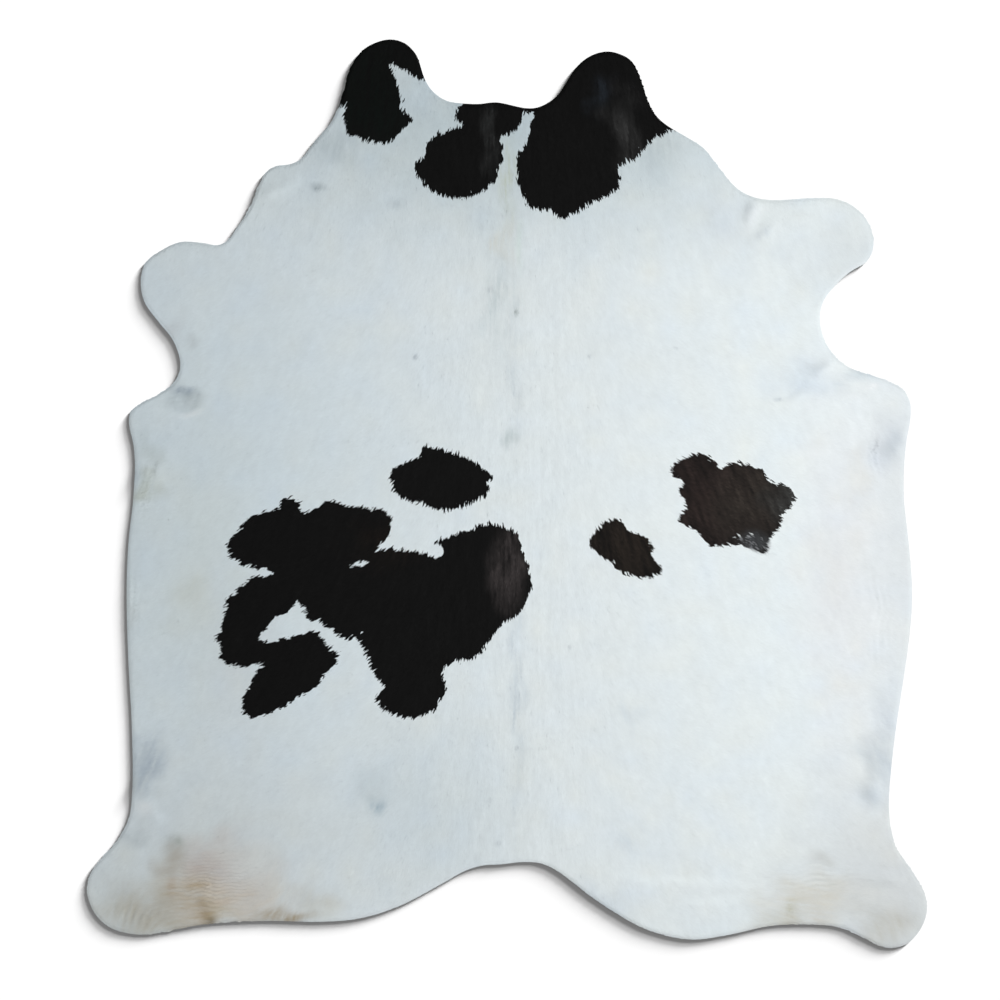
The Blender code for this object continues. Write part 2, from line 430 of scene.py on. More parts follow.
@dataclass
class HideForm:
    """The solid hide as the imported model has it, read as smooth surfaces: the knife's cut, the
    underside with its creases, the leather on it and the lying coat on that."""

    node: bpy.types.Object
    step: float = 0.005  # between the lines of the grids that depth and lift are read from
    blurs: int = 4  # rounds that smooth the model's facets
    cut_spans: int = 2  # points for each of the model's along the cut
    leather_back: float = 0.0026
    leather_belly: float = 0.0017
    belly_reach: float = 0.90  # this far from the backbone the leather is thinnest
    coat_depth: float = 0.0032
    coat_at_cut: float = 0.0008
    roll_width: float = 0.008  # the coat rounds down to the cut over this width
    slope_step: float = 0.002  # a slope is read from heights this far to each side
    wander_cell: float = 0.022  # how far it is from one random offset to the next
    wander_gain: float = 2.2  # brings a wander that has been evened out back to about 1
    crease_stray: float = 0.004  # how far creases and ripples bend aside
    ripple_swell: float = 0.45  # how unevenly the ripples rise
    swell_limits: tuple[float, float] = (0.2, 1.8)  # the lowest and highest, in their own height
    sways: tuple[tuple[float, float], ...] = ((0.25, 0.90), (0.20, 0.31))  # size and rate, in pitches
    looks_down: float = -0.5  # a face whose normal's height is below this is on the flesh side
    same_decimals: int = 5  # corners that agree to this many are one
    seed: int = 5
    flow: HairFlow = field(default_factory=HairFlow)

    def __post_init__(self) -> None:
        """Reads the cut and the underside from the model's mesh."""
        corners, triangles = self.merged_mesh()
        self.cut = smooth_loop(self.walk_cut(corners, triangles), self.cut_spans)
        low, high = self.cut.min(0), self.cut.max(0)
        self.depth_grid = PlanGrid.over(low, high, self.step)
        spots = self.depth_grid.crossings()
        depth = depth_inside(spots, self.cut)
        self.depth_grid.values = depth.reshape(self.depth_grid.values.shape)
        self.lift_grid = PlanGrid.over(low, high, self.step)
        self.lift_grid.values = self.underside(corners, triangles, spots, depth)
        self.lift_grid.blur(self.blurs)
        rng = np.random.default_rng(self.seed)
        self.wanders = [PlanGrid.over(low, high, self.wander_cell) for _ in range(2)]
        for grid in self.wanders:
            grid.roughen(rng)
            grid.blur(1)

    def wander(self, points: Array) -> Array:
        """A smooth random offset, about 1 long, that keeps lines from being straight."""
        return self.wander_gain * np.stack([grid.at(points) for grid in self.wanders], 1)

    def merged_mesh(self) -> tuple[Array, list[tuple[int, ...]]]:
        """Reads the model's mesh.

        Returns:
            The node's corners, each once, and its triangles.
        """
        mesh = self.node.data
        places = np.empty(len(mesh.vertices) * 3, np.float32)
        mesh.vertices.foreach_get("co", places)
        places = places.reshape(-1, 3).astype(float)
        rounded = np.round(places, self.same_decimals)
        _, first, same = np.unique(rounded, axis=0, return_index=True, return_inverse=True)
        same = same.ravel()
        triangles = [tuple(int(same[v]) for v in face.vertices) for face in mesh.polygons]
        return places[first], triangles

    def walk_cut(self, corners: Array, triangles: list[tuple[int, ...]]) -> Array:
        """Follows the knife's cut: the edges that only one of the faces looking down has.

        Args:
            corners: the model's corners.
            triangles: its faces.

        Returns:
            The cut's points in plan, in order.
        """
        onward: dict[tuple[int, int], bool] = {}
        for triangle in triangles:
            a, b, c = corners[list(triangle)]
            normal = np.cross(b - a, c - a)
            if normal[2] < self.looks_down * np.linalg.norm(normal):
                for i, start in enumerate(triangle):
                    end = triangle[(i + 1) % 3]
                    if not onward.pop((end, start), False):
                        onward[start, end] = True
        following = {start: end for start, end in onward}
        first = at = next(iter(following))
        walk = []
        while True:
            walk.append(corners[at, :2])
            at = following[at]
            if at == first:
                return np.array(walk)[::-1]

    def underside(
        self, corners: Array, triangles: list[tuple[int, ...]], spots: Array, depth: Array
    ) -> Array:
        """Heights of the underside over the grid; beyond the cut it stays level.

        Args:
            corners: the model's corners.
            triangles: its faces.
            spots: where the grid's lines cross.
            depth: how far inside the cut each of those is.

        Returns:
            A height for each crossing.
        """
        tree = BVHTree.FromPolygons(corners.tolist(), triangles)
        heights = np.zeros(len(spots))
        for i in np.flatnonzero(depth > 0):
            hit = tree.ray_cast((spots[i, 0], spots[i, 1], -1.0), (0.0, 0.0, 1.0))[0]
            heights[i] = hit.z if hit else 0.0
        return heights.reshape(self.lift_grid.values.shape)

    def lift(self, points: Array) -> Array:
        """Height of the flesh side."""
        return self.lift_grid.at(points)

    def leather(self, points: Array) -> Array:
        """Thickness of the leather, which thins from the backbone to the belly."""
        share = np.clip(np.abs(points[:, 0]) / self.belly_reach, 0, 1)
        return self.leather_back + (self.leather_belly - self.leather_back) * share**2

    def coat(self, points: Array) -> Array:
        """Works out the lying hair, which rounds down to the cut.

        Args:
            points: places in plan.

        Returns:
            Its depth at each of them.
        """
        share = np.clip(self.depth_grid.at(points) / self.roll_width, 0, 1)
        rise = np.sin(share * math.pi / 2)
        return self.coat_at_cut + (self.coat_depth - self.coat_at_cut) * rise

    def wrinkles(self, points: Array) -> Array:
        """Adds up the ripples and the small creases.

        Args:
            points: places in plan.

        Returns:
            The height that they give the sheet at each of them.
        """
        total = np.zeros(len(points))
        wander = self.wander(points)
        strayed = points + self.crease_stray * wander
        swell = np.clip(1 + self.ripple_swell * wander[:, 0], *self.swell_limits)
        for ripple in RIPPLES:
            turn = math.radians(ripple.turn)
            offset = strayed - [ripple.x, ripple.y]
            along = offset @ [-math.sin(turn), math.cos(turn)]
            across = offset @ [math.cos(turn), math.sin(turn)]
            away = np.hypot(offset[:, 0] / ripple.half_across, offset[:, 1] / ripple.half_along)
            sway = sum(size * np.sin(across / ripple.pitch * rate) for size, rate in self.sways)
            wave = np.sin((along / ripple.pitch + sway) * 2 * math.pi)
            total += ripple.height * ease(1 - away) * wave * swell
        for crease in CREASES:
            start, end = np.array(crease.start), np.array(crease.end)
            run = end - start
            share = np.clip((strayed - start) @ run / (run @ run), 0, 1)
            away = np.linalg.norm(strayed - start - share[:, None] * run, axis=1)
            full = ease(1 - np.abs(2 * share - 1) ** 3)  # 1 along the middle, 0 at both ends
            total += crease.height * ease(1 - away / crease.half_width) * full
        return total * ease(self.depth_grid.at(points) / self.roll_width)

    def skin_top(self, points: Array) -> Array:
        """Height of the leather's hair side."""
        return self.lift(points) + self.leather(points) + self.wrinkles(points)

    def top(self, points: Array) -> Array:
        """Height of the lying coat's surface."""
        return self.skin_top(points) + self.coat(points)

    def normals(self, points: Array) -> Array:
        """Works out which way the coat's surface faces.

        Args:
            points: places in plan.

        Returns:
            A unit vector for each of them.
        """
        h = self.slope_step
        slope = [
            (self.top(points + way) - self.top(points - way)) / (2 * h)
            for way in (np.array([h, 0.0]), np.array([0.0, h]))
        ]
        facing = np.stack([-slope[0], -slope[1], np.ones(len(points))], 1)
        return facing / np.linalg.norm(facing, axis=1, keepdims=True)


# ------------------------------------------------------ patches, stains, painted shade and painted light


class Marking(Enum):
    """What a marking does to the coat."""

    DARK = "dark"
    WHITE_GAP = "white gap"
    MIXED = "mixed"  # dark and white hairs side by side, which reads as grey


@dataclass(frozen=True)
class Patch:
    """One marking by its border: points that a smooth line joins, as (x, y). Parts of it past
    the knife's cut just run out over the edge."""

    name: str
    marking: Marking
    border: tuple[tuple[float, float], ...]


PATCHES = (
    Patch(
        "left ear",
        Marking.DARK,
        (
            (-0.413, 0.932), (-0.396, 0.926), (-0.387, 0.920), (-0.397, 0.906), (-0.391, 0.894),
            (-0.384, 0.864), (-0.365, 0.856), (-0.331, 0.841), (-0.304, 0.837), (-0.276, 0.844),
            (-0.255, 0.868), (-0.240, 0.884), (-0.229, 0.900), (-0.252, 0.913), (-0.264, 0.931),
            (-0.251, 0.941), (-0.260, 0.960), (-0.272, 0.999), (-0.282, 1.017), (-0.278, 1.031),
            (-0.260, 1.023), (-0.226, 0.999), (-0.210, 0.986), (-0.200, 0.992), (-0.175, 1.007),
            (-0.197, 1.084), (-0.293, 1.125), (-0.389, 1.065),
        ),
    ),
    Patch(
        "brow",
        Marking.DARK,
        (
            (-0.092, 0.945), (-0.123, 0.902), (-0.108, 0.880), (-0.139, 0.868), (-0.171, 0.856),
            (-0.192, 0.834), (-0.199, 0.803), (-0.219, 0.791), (-0.216, 0.762), (-0.190, 0.733),
            (-0.149, 0.709), (-0.108, 0.709), (-0.063, 0.719), (-0.031, 0.745), (-0.022, 0.774),
            (-0.010, 0.808), (-0.015, 0.844), (-0.017, 0.856), (0.008, 0.862), (0.030, 0.888),
            (0.042, 0.911), (0.053, 0.913), (0.065, 0.949), (-0.017, 0.969),
        ),
    ),
    Patch(
        "right ear",
        Marking.DARK,
        (
            (0.036, 0.949), (0.060, 0.911), (0.057, 0.873), (0.045, 0.839), (0.029, 0.810),
            (0.024, 0.772), (0.031, 0.731), (0.047, 0.696), (0.068, 0.681), (0.098, 0.676),
            (0.127, 0.664), (0.156, 0.666), (0.187, 0.685), (0.223, 0.705), (0.257, 0.721),
            (0.271, 0.750), (0.273, 0.784), (0.309, 0.802), (0.331, 0.826), (0.363, 0.855),
            (0.400, 0.870), (0.439, 0.885), (0.415, 0.969), (0.343, 1.089), (0.223, 1.101),
            (0.127, 1.041), (0.091, 0.969),
        ),
    ),
    Patch(
        "loin oval",
        Marking.DARK,
        (
            (-0.279, 0.052), (-0.247, 0.069), (-0.214, 0.088), (-0.203, 0.103), (-0.178, 0.107),
            (-0.137, 0.097), (-0.089, 0.078), (-0.037, 0.043), (-0.048, 0.022), (-0.046, 0.003),
            (-0.064, -0.014), (-0.089, -0.027), (-0.147, -0.042), (-0.197, -0.030), (-0.250, -0.014),
            (-0.279, 0.020),
        ),
    ),
    Patch(
        "flank, upper lobe",
        Marking.DARK,
        (
            (-0.672, -0.126), (-0.649, -0.090), (-0.610, -0.055), (-0.549, -0.039), (-0.540, -0.019),
            (-0.509, -0.016), (-0.492, -0.050), (-0.459, -0.036), (-0.421, -0.018), (-0.389, -0.031),
            (-0.334, -0.040), (-0.308, -0.039), (-0.283, -0.056), (-0.281, -0.080), (-0.291, -0.107),
            (-0.315, -0.135), (-0.363, -0.207), (-0.449, -0.243), (-0.521, -0.231), (-0.572, -0.184),
            (-0.605, -0.179), (-0.655, -0.162), (-0.668, -0.144),
        ),
    ),
    Patch(
        "flank, main part",
        Marking.DARK,
        (
            (-0.317, -0.140), (-0.290, -0.135), (-0.238, -0.140), (-0.197, -0.149), (-0.163, -0.156),
            (-0.152, -0.145), (-0.155, -0.135), (-0.173, -0.120), (-0.150, -0.112), (-0.103, -0.095),
            (-0.048, -0.075), (0.002, -0.087), (0.020, -0.094), (0.029, -0.111), (0.043, -0.164),
            (0.050, -0.196), (0.057, -0.222), (0.033, -0.286), (-0.019, -0.320), (-0.051, -0.367),
            (-0.082, -0.397), (-0.129, -0.404), (-0.156, -0.430), (-0.146, -0.478), (-0.163, -0.498),
            (-0.177, -0.525), (-0.238, -0.539), (-0.288, -0.524), (-0.318, -0.496), (-0.309, -0.481),
            (-0.293, -0.464), (-0.309, -0.449), (-0.324, -0.426), (-0.338, -0.387), (-0.358, -0.352),
            (-0.345, -0.335), (-0.366, -0.345), (-0.390, -0.352), (-0.399, -0.347), (-0.438, -0.315),
            (-0.456, -0.303), (-0.472, -0.305), (-0.492, -0.279), (-0.505, -0.258), (-0.540, -0.219),
            (-0.497, -0.171),
        ),
    ),
    Patch(
        "flank, lower arm",
        Marking.DARK,
        (
            (-0.497, -0.195), (-0.573, -0.199), (-0.605, -0.197), (-0.636, -0.222), (-0.671, -0.258),
            (-0.679, -0.290), (-0.691, -0.326), (-0.698, -0.352), (-0.688, -0.368), (-0.690, -0.388),
            (-0.664, -0.413), (-0.627, -0.415), (-0.594, -0.405), (-0.606, -0.440), (-0.629, -0.481),
            (-0.634, -0.515), (-0.622, -0.533), (-0.598, -0.536), (-0.545, -0.516), (-0.507, -0.488),
            (-0.458, -0.464), (-0.440, -0.431), (-0.408, -0.395), (-0.435, -0.368), (-0.459, -0.332),
            (-0.499, -0.340), (-0.545, -0.352), (-0.581, -0.359), (-0.600, -0.344), (-0.577, -0.322),
            (-0.567, -0.303), (-0.535, -0.287), (-0.509, -0.260),
        ),
    ),
    Patch(
        "right loin",
        Marking.DARK,
        (
            (0.199, -0.123), (0.206, -0.100), (0.228, -0.083), (0.247, -0.067), (0.275, -0.068),
            (0.291, -0.090), (0.338, -0.110), (0.350, -0.135), (0.346, -0.150), (0.366, -0.180),
            (0.361, -0.199), (0.316, -0.203), (0.281, -0.192), (0.259, -0.178), (0.252, -0.164),
            (0.232, -0.156), (0.216, -0.140),
        ),
    ),
    Patch(
        "right flank",
        Marking.DARK,
        (
            (0.396, 0.045), (0.415, 0.078), (0.456, 0.093), (0.481, 0.088), (0.502, 0.073),
            (0.518, 0.058), (0.547, 0.071), (0.595, 0.061), (0.626, 0.040), (0.630, 0.027),
            (0.664, 0.019), (0.680, 0.010), (0.693, -0.020), (0.662, -0.049), (0.655, -0.078),
            (0.626, -0.109), (0.583, -0.114), (0.545, -0.126), (0.485, -0.121), (0.458, -0.087),
            (0.417, -0.068), (0.434, -0.027), (0.417, 0.001), (0.425, 0.028),
        ),
    ),
    Patch(
        "faded edge of the right flank patch",
        Marking.MIXED,
        (
            (0.545, -0.105), (0.560, -0.120), (0.600, -0.140), (0.622, -0.141), (0.628, -0.112),
            (0.600, -0.098),
        ),
    ),
    Patch(
        "white slit in the flank patch",
        Marking.WHITE_GAP,
        (
            (-0.406, -0.176), (-0.384, -0.176), (-0.360, -0.166), (-0.334, -0.164), (-0.341, -0.173),
            (-0.367, -0.178),
        ),
    ),
)


@dataclass(frozen=True)
class Tint:
    """A soft-edged spot or wash of another colour on the coat. Some are painted shade or painted
    light, as their names say.
    """

    name: str
    x: float
    y: float
    half_across: float
    half_along: float
    turn: float  # degrees, anticlockwise from above
    strength: float
    shade: str
    streaky: float = 0.3  # how far it follows the coat's streaks


WHITE_TINTS = (
    # partly painted shade: the left half darker, as light falling off from the right makes it, and
    # bluer in its own colour
    Tint("cool left half, darkened as painted shade", -0.75, -0.05, 0.95, 1.60, 0, 0.80, "#cfdde4", 0.0),
    # painted shade: the neck and cheeks darker
    Tint("painted shade over the neck and cheeks", 0.00, 0.90, 0.95, 0.45, 0, 0.85, "#b9c8ce", 0.03),
    Tint("left thigh", -0.72, -0.88, 0.46, 0.42, 0, 0.40, "#c4cbcc", 0.0),
    Tint("right thigh", 0.93, -0.98, 0.38, 0.50, 0, 0.60, "#c2c4c4", 0.0),
    Tint("right belly side", 0.96, -0.15, 0.17, 1.00, 0, 0.60, "#cfd3d6", 0.03),
    Tint("left belly side", -0.96, 0.00, 0.15, 0.80, 0, 0.36, "#c6d0d2", 0.03),
    Tint("left rump", -0.18, -0.76, 0.36, 0.34, 0, 0.42, "#c1cfd6", 0.0),
    Tint("greyed left loin", -0.66, -0.38, 0.16, 0.36, 0, 0.45, "#cdd3d4", 0.0),
    Tint("right fore leg", 0.84, 0.56, 0.24, 0.20, 0, 0.40, "#c6cdd0", 0.0),
    Tint("shade below the left ear", -0.405, 0.830, 0.090, 0.090, 0, 0.35, "#a3b0b5"),
    Tint("shade below the right ear", 0.365, 0.830, 0.100, 0.080, 0, 0.35, "#aab7bc"),
    Tint("grey-green neck line", 0.004, 0.740, 0.034, 0.150, 0, 0.42, "#b7c0b1", 0.5),
    Tint("beige neck line, tail end", 0.006, 0.600, 0.040, 0.090, 0, 0.40, "#d0d2ca", 0.4),
    Tint("green line beside it", 0.032, 0.600, 0.014, 0.100, 0, 0.25, "#c6d9cf", 0.4),
    Tint("grey left of the neck line", -0.020, 0.470, 0.060, 0.190, 0, 0.38, "#b9c6ca", 0.4),
    Tint("backbone line", 0.016, 0.280, 0.026, 0.300, 0, 0.20, "#b3c0c8", 0.6),
    Tint("backbone line, tail half", 0.024, -0.500, 0.024, 0.480, 0, 0.30, "#b9c5cd", 0.5),
    Tint("backbone knot", 0.008, 0.128, 0.024, 0.040, 0, 0.42, "#a2b2b2"),
    Tint("yellowed left flank", -0.745, -0.250, 0.085, 0.120, 0, 0.36, "#cbccc0", 0.15),
    Tint("darker core of it", -0.755, -0.225, 0.040, 0.046, 0, 0.26, "#b3b7ad", 0.15),
    Tint("greyed left belly", -0.865, 0.110, 0.050, 0.090, 0, 0.32, "#a8b3b0", 0.15),
    Tint("green-brown left belly", -0.860, 0.014, 0.050, 0.052, 0, 0.46, "#a3a893", 0.15),
    Tint("grey lower belly edge", -0.905, -0.300, 0.036, 0.120, 0, 0.22, "#b4bbbc", 0.4),
    Tint("yellowed right flank", 0.790, -0.180, 0.110, 0.180, 0, 0.30, "#dcdace", 0.1),
    Tint("beige band above it", 0.845, 0.030, 0.045, 0.120, 0, 0.32, "#cdcabd", 0.15),
    Tint("grey right belly", 0.905, 0.130, 0.070, 0.130, 0, 0.38, "#bcc1c8", 0.1),
    Tint("right belly edge", 0.925, 0.120, 0.034, 0.050, 0, 0.34, "#a9b4ba", 0.15),
    Tint("grey edge, lower right", 0.905, -0.540, 0.058, 0.130, 0, 0.34, "#b4bcc4", 0.3),
    Tint("greyed right side", 0.800, -0.200, 0.160, 0.750, 0, 0.44, "#dadade", 0.0),
    Tint("greyed left side", -0.745, -0.180, 0.200, 0.480, 0, 0.50, "#cfd9d8", 0.0),
    Tint("right stifle shade", 0.892, -0.665, 0.076, 0.130, 0, 0.54, "#b2bec8", 0.15),
    # painted shade of the left stifle's fold, painted light on the ridge below it and painted shade
    # beneath that
    Tint("left stifle shade", -0.868, -0.650, 0.080, 0.110, -12, 0.58, "#a0afbd", 0.3),
    Tint("painted light on the ridge below it", -0.871, -0.757, 0.036, 0.042, 0, 0.40, "#e6eaec", 0.1),
    Tint("painted shade below the ridge", -0.885, -0.820, 0.034, 0.034, 0, 0.30, "#aab4b8"),
    Tint("stain, halo", -0.680, -0.930, 0.210, 0.160, 0, 0.55, "#c9bfb4", 0.05),
    Tint("stain, browned hock", -0.690, -0.985, 0.290, 0.075, 0, 0.40, "#c6b399", 0.15),
    Tint("stain, pinkish column", -0.730, -0.890, 0.085, 0.100, 0, 0.50, "#b8aba3", 0.15),
    Tint("stain, core", -0.752, -0.972, 0.092, 0.080, 0, 0.44, "#a99673", 0.22),
    Tint("stain, orange rim", -0.808, -0.950, 0.024, 0.046, 0, 0.34, "#ab8b68", 0.2),
    Tint("stain, deep foot", -0.722, -1.008, 0.046, 0.034, 0, 0.50, "#8a7550", 0.25),
    Tint("stain, dark mark", -0.708, -1.022, 0.026, 0.016, 0, 0.62, "#4f4534", 0.1),
    Tint("stain, browned cut", -0.770, -1.034, 0.170, 0.036, 4, 0.36, "#a89468", 0.15),
    Tint("stain, pale patch", -0.680, -0.985, 0.034, 0.014, 0, 0.26, "#dccfcf", 0.1),
    Tint("stain, yellow foot", -0.685, -1.002, 0.056, 0.036, 0, 0.34, "#b0a27c", 0.15),
    Tint("stain, faint wash", -0.450, -0.975, 0.090, 0.064, 0, 0.30, "#b9b29c", 0.1),
    Tint("stain, rim to the rump", -0.535, -1.014, 0.135, 0.026, 0, 0.58, "#9a8763", 0.25),
    Tint("stain, grey shoulder", -0.800, -0.855, 0.050, 0.055, 0, 0.46, "#9aa19d", 0.1),
    Tint("stain, its tail end", -0.818, -0.898, 0.070, 0.058, 0, 0.58, "#a19889", 0.1),
    Tint("stain, wash to the leg", -0.838, -0.985, 0.062, 0.110, 0, 0.34, "#a9a08c", 0.1),
    Tint("stain, green mark", -0.788, -0.840, 0.014, 0.018, 0, 0.40, "#7d897a", 0.1),
    Tint("left hind leg", -0.895, -1.000, 0.190, 0.105, -8, 0.52, "#a9a390", 0.15),
    Tint("right hock", 0.715, -0.965, 0.190, 0.090, 0, 0.52, "#c8c2b2", 0.15),
    Tint("right hock, beige foot", 0.668, -1.045, 0.140, 0.070, 0, 0.48, "#b0a890", 0.15),
    Tint("right hock, grey shoulder", 0.751, -0.872, 0.052, 0.036, 0, 0.34, "#a9a79f", 0.15),
    Tint("right hock, brown edge", 0.681, -0.992, 0.028, 0.040, 0, 0.50, "#b3b29c", 0.2),
    Tint("end of the right leg", 0.915, -1.030, 0.110, 0.075, -20, 0.42, "#acaa9e", 0.2),
    Tint("grey smudge on the neck", -0.450, 0.736, 0.028, 0.016, -20, 0.60, "#8a969b", 0.4),
    Tint("fainter smudge beside it", -0.262, 0.693, 0.036, 0.024, 10, 0.28, "#a3afb6"),
    # painted shadow in the fold of the left armpit, with painted light on its rim
    Tint("shadow of the left armpit", -0.771, 0.225, 0.062, 0.034, -5, 0.36, "#8d9ba2"),
    Tint("upper branch of the armpit's painted shadow", -0.784, 0.245, 0.038, 0.017, -12, 0.40, "#7d8ea0"),
    Tint("painted light on the armpit's rim", -0.766, 0.193, 0.050, 0.013, 12, 0.35, "#e9eff2"),
    Tint("mark on the left belly", -0.845, 0.061, 0.008, 0.030, 0, 0.45, "#8f9a9a"),
    Tint("smudge on the left shoulder", -0.757, 0.362, 0.034, 0.034, 30, 0.38, "#a9b0b2"),
    Tint("pinkish veil above it", -0.800, 0.405, 0.060, 0.040, 30, 0.36, "#b9bcbe", 0.1),
    Tint("blue bruise on the left hip", -0.312, -0.738, 0.034, 0.038, 0, 0.50, "#8fa8b6", 0.4),
    Tint("its veil", -0.315, -0.710, 0.070, 0.085, 0, 0.26, "#b0bfc8", 0.1),
    Tint("blue bruise on the right hip", 0.300, -0.540, 0.045, 0.070, 0, 0.20, "#bccbd8"),
    Tint("blue bruise on the right rump", 0.290, -0.845, 0.045, 0.055, 0, 0.24, "#bccbd8"),
    # painted shade of the right armpit's folds, and a painted highlight on the flank beside them
    Tint("right armpit, blue painted shade", 0.725, 0.282, 0.160, 0.080, -8, 0.34, "#c3d0de", 0.05),
    Tint("shade under the right armpit", 0.852, 0.280, 0.060, 0.034, -20, 0.34, "#a9bccb", 0.1),
    Tint("painted shade of a crease in the right armpit", 0.794, 0.264, 0.020, 0.007, -10, 0.35, "#9fb0c0"),
    Tint("painted shade along the right armpit fold", 0.752, 0.296, 0.012, 0.060, -52, 0.10, "#a9b7c6", 0.3),
    Tint("its lower end", 0.692, 0.252, 0.012, 0.055, -48, 0.16, "#a9b5c1", 0.3),
    Tint("mark below it", 0.652, 0.229, 0.013, 0.010, 0, 0.45, "#98a4b0"),
    Tint("painted highlight on the right flank", 0.873, 0.253, 0.009, 0.030, -70, 0.35, "#f4f6f8"),
    Tint("mark on the right belly", 0.886, 0.115, 0.009, 0.026, 0, 0.55, "#a3a8ae"),
    # painted shade and light of the right shoulder's folds
    Tint("right shoulder shade", 0.580, 0.690, 0.020, 0.040, 0, 0.08, "#aab6c3"),
    Tint("painted highlight beside it", 0.598, 0.672, 0.024, 0.062, -33, 0.36, "#eaf0f4", 0.1),
    Tint("shade below it", 0.612, 0.628, 0.034, 0.022, 20, 0.34, "#aebbc7"),
    Tint("veil over the right shoulder", 0.520, 0.650, 0.100, 0.100, 0, 0.28, "#c1ccd9", 0.1),
    Tint("veil in the right groin", 0.250, -0.985, 0.120, 0.060, -20, 0.25, "#bccad8", 0.1),
    Tint("nick", -0.223, 0.326, 0.009, 0.009, 0, 0.60, "#8f9aa3"),
    Tint("nick", 0.021, 0.436, 0.007, 0.008, 0, 0.65, "#7f8a88"),
    Tint("nick", 0.199, 0.326, 0.009, 0.008, 0, 0.50, "#98a2aa"),
    Tint("nick", 0.405, 0.350, 0.008, 0.007, 0, 0.35, "#98a2aa"),
    Tint("nick", -0.041, 0.489, 0.012, 0.010, 0, 0.35, "#98a2aa"),
    Tint("nick", 0.146, -0.371, 0.009, 0.008, 0, 0.35, "#98a2aa"),
    Tint("nick", 0.020, -0.610, 0.009, 0.008, 0, 0.45, "#98a2aa"),
    Tint("nick", -0.017, -0.843, 0.012, 0.010, 0, 0.40, "#98a2aa"),
    Tint("nick", -0.044, -0.735, 0.012, 0.008, 0, 0.30, "#98a2aa"),
    Tint("nick", 0.314, 0.633, 0.006, 0.006, 0, 0.35, "#98a2aa"),
)

DARK_TINTS = (
    Tint("brown of the right flank", 0.470, 0.000, 0.260, 0.260, 0, 0.85, "#2a2220"),
    Tint("warm grey of its middle", 0.590, -0.015, 0.150, 0.170, 0, 0.75, "#302b27"),
    Tint("grey of its outer end", 0.672, -0.020, 0.090, 0.095, 0, 0.85, "#393a39"),
    Tint("faded edge below it", 0.596, -0.126, 0.070, 0.036, 0, 1.00, "#3a3c3e"),
    Tint("brown of the right loin", 0.290, -0.135, 0.200, 0.160, 0, 0.80, "#241f1b"),
    Tint("blue sheen of the right ear", 0.228, 0.958, 0.044, 0.080, 0, 0.80, "#1c2025"),
    Tint("grey streak of the right ear", 0.288, 0.852, 0.060, 0.140, 4, 0.80, "#2f2f2f"),
    Tint("grey streak of the brow", -0.042, 0.850, 0.030, 0.120, 2, 0.80, "#2b2c2c"),
    Tint("green-black left ear", -0.320, 0.940, 0.200, 0.220, 0, 0.80, "#090e0c"),
    # painted sheen where the dark patch crosses the backbone
    Tint("painted sheen where the patch crosses the backbone", 0.010, -0.170, 0.062, 0.160, 4, 1.00, "#353131"),
    Tint("red-brown rim of the flank patch", -0.300, -0.120, 0.120, 0.100, 0, 0.35, "#1c1510"),
)


@dataclass(frozen=True)
class Grain:
    """One scale of the coat's drawn-out unevenness: how strong it is beside the backbone and
    over the rest of the hide, as a share of the light."""

    name: str
    cell: float
    reach: int  # how many cells long it is drawn
    at_backbone: float
    elsewhere: float


GRAINS = (
    Grain("streaks of single tufts", 0.004, 12, 0.011, 0.006),
    Grain("mottles", 0.007, 2, 0.015, 0.013),
    Grain("veins", 0.007, 14, 0.007, 0.004),
    Grain("blotches", 0.018, 2, 0.003, 0.007),
)


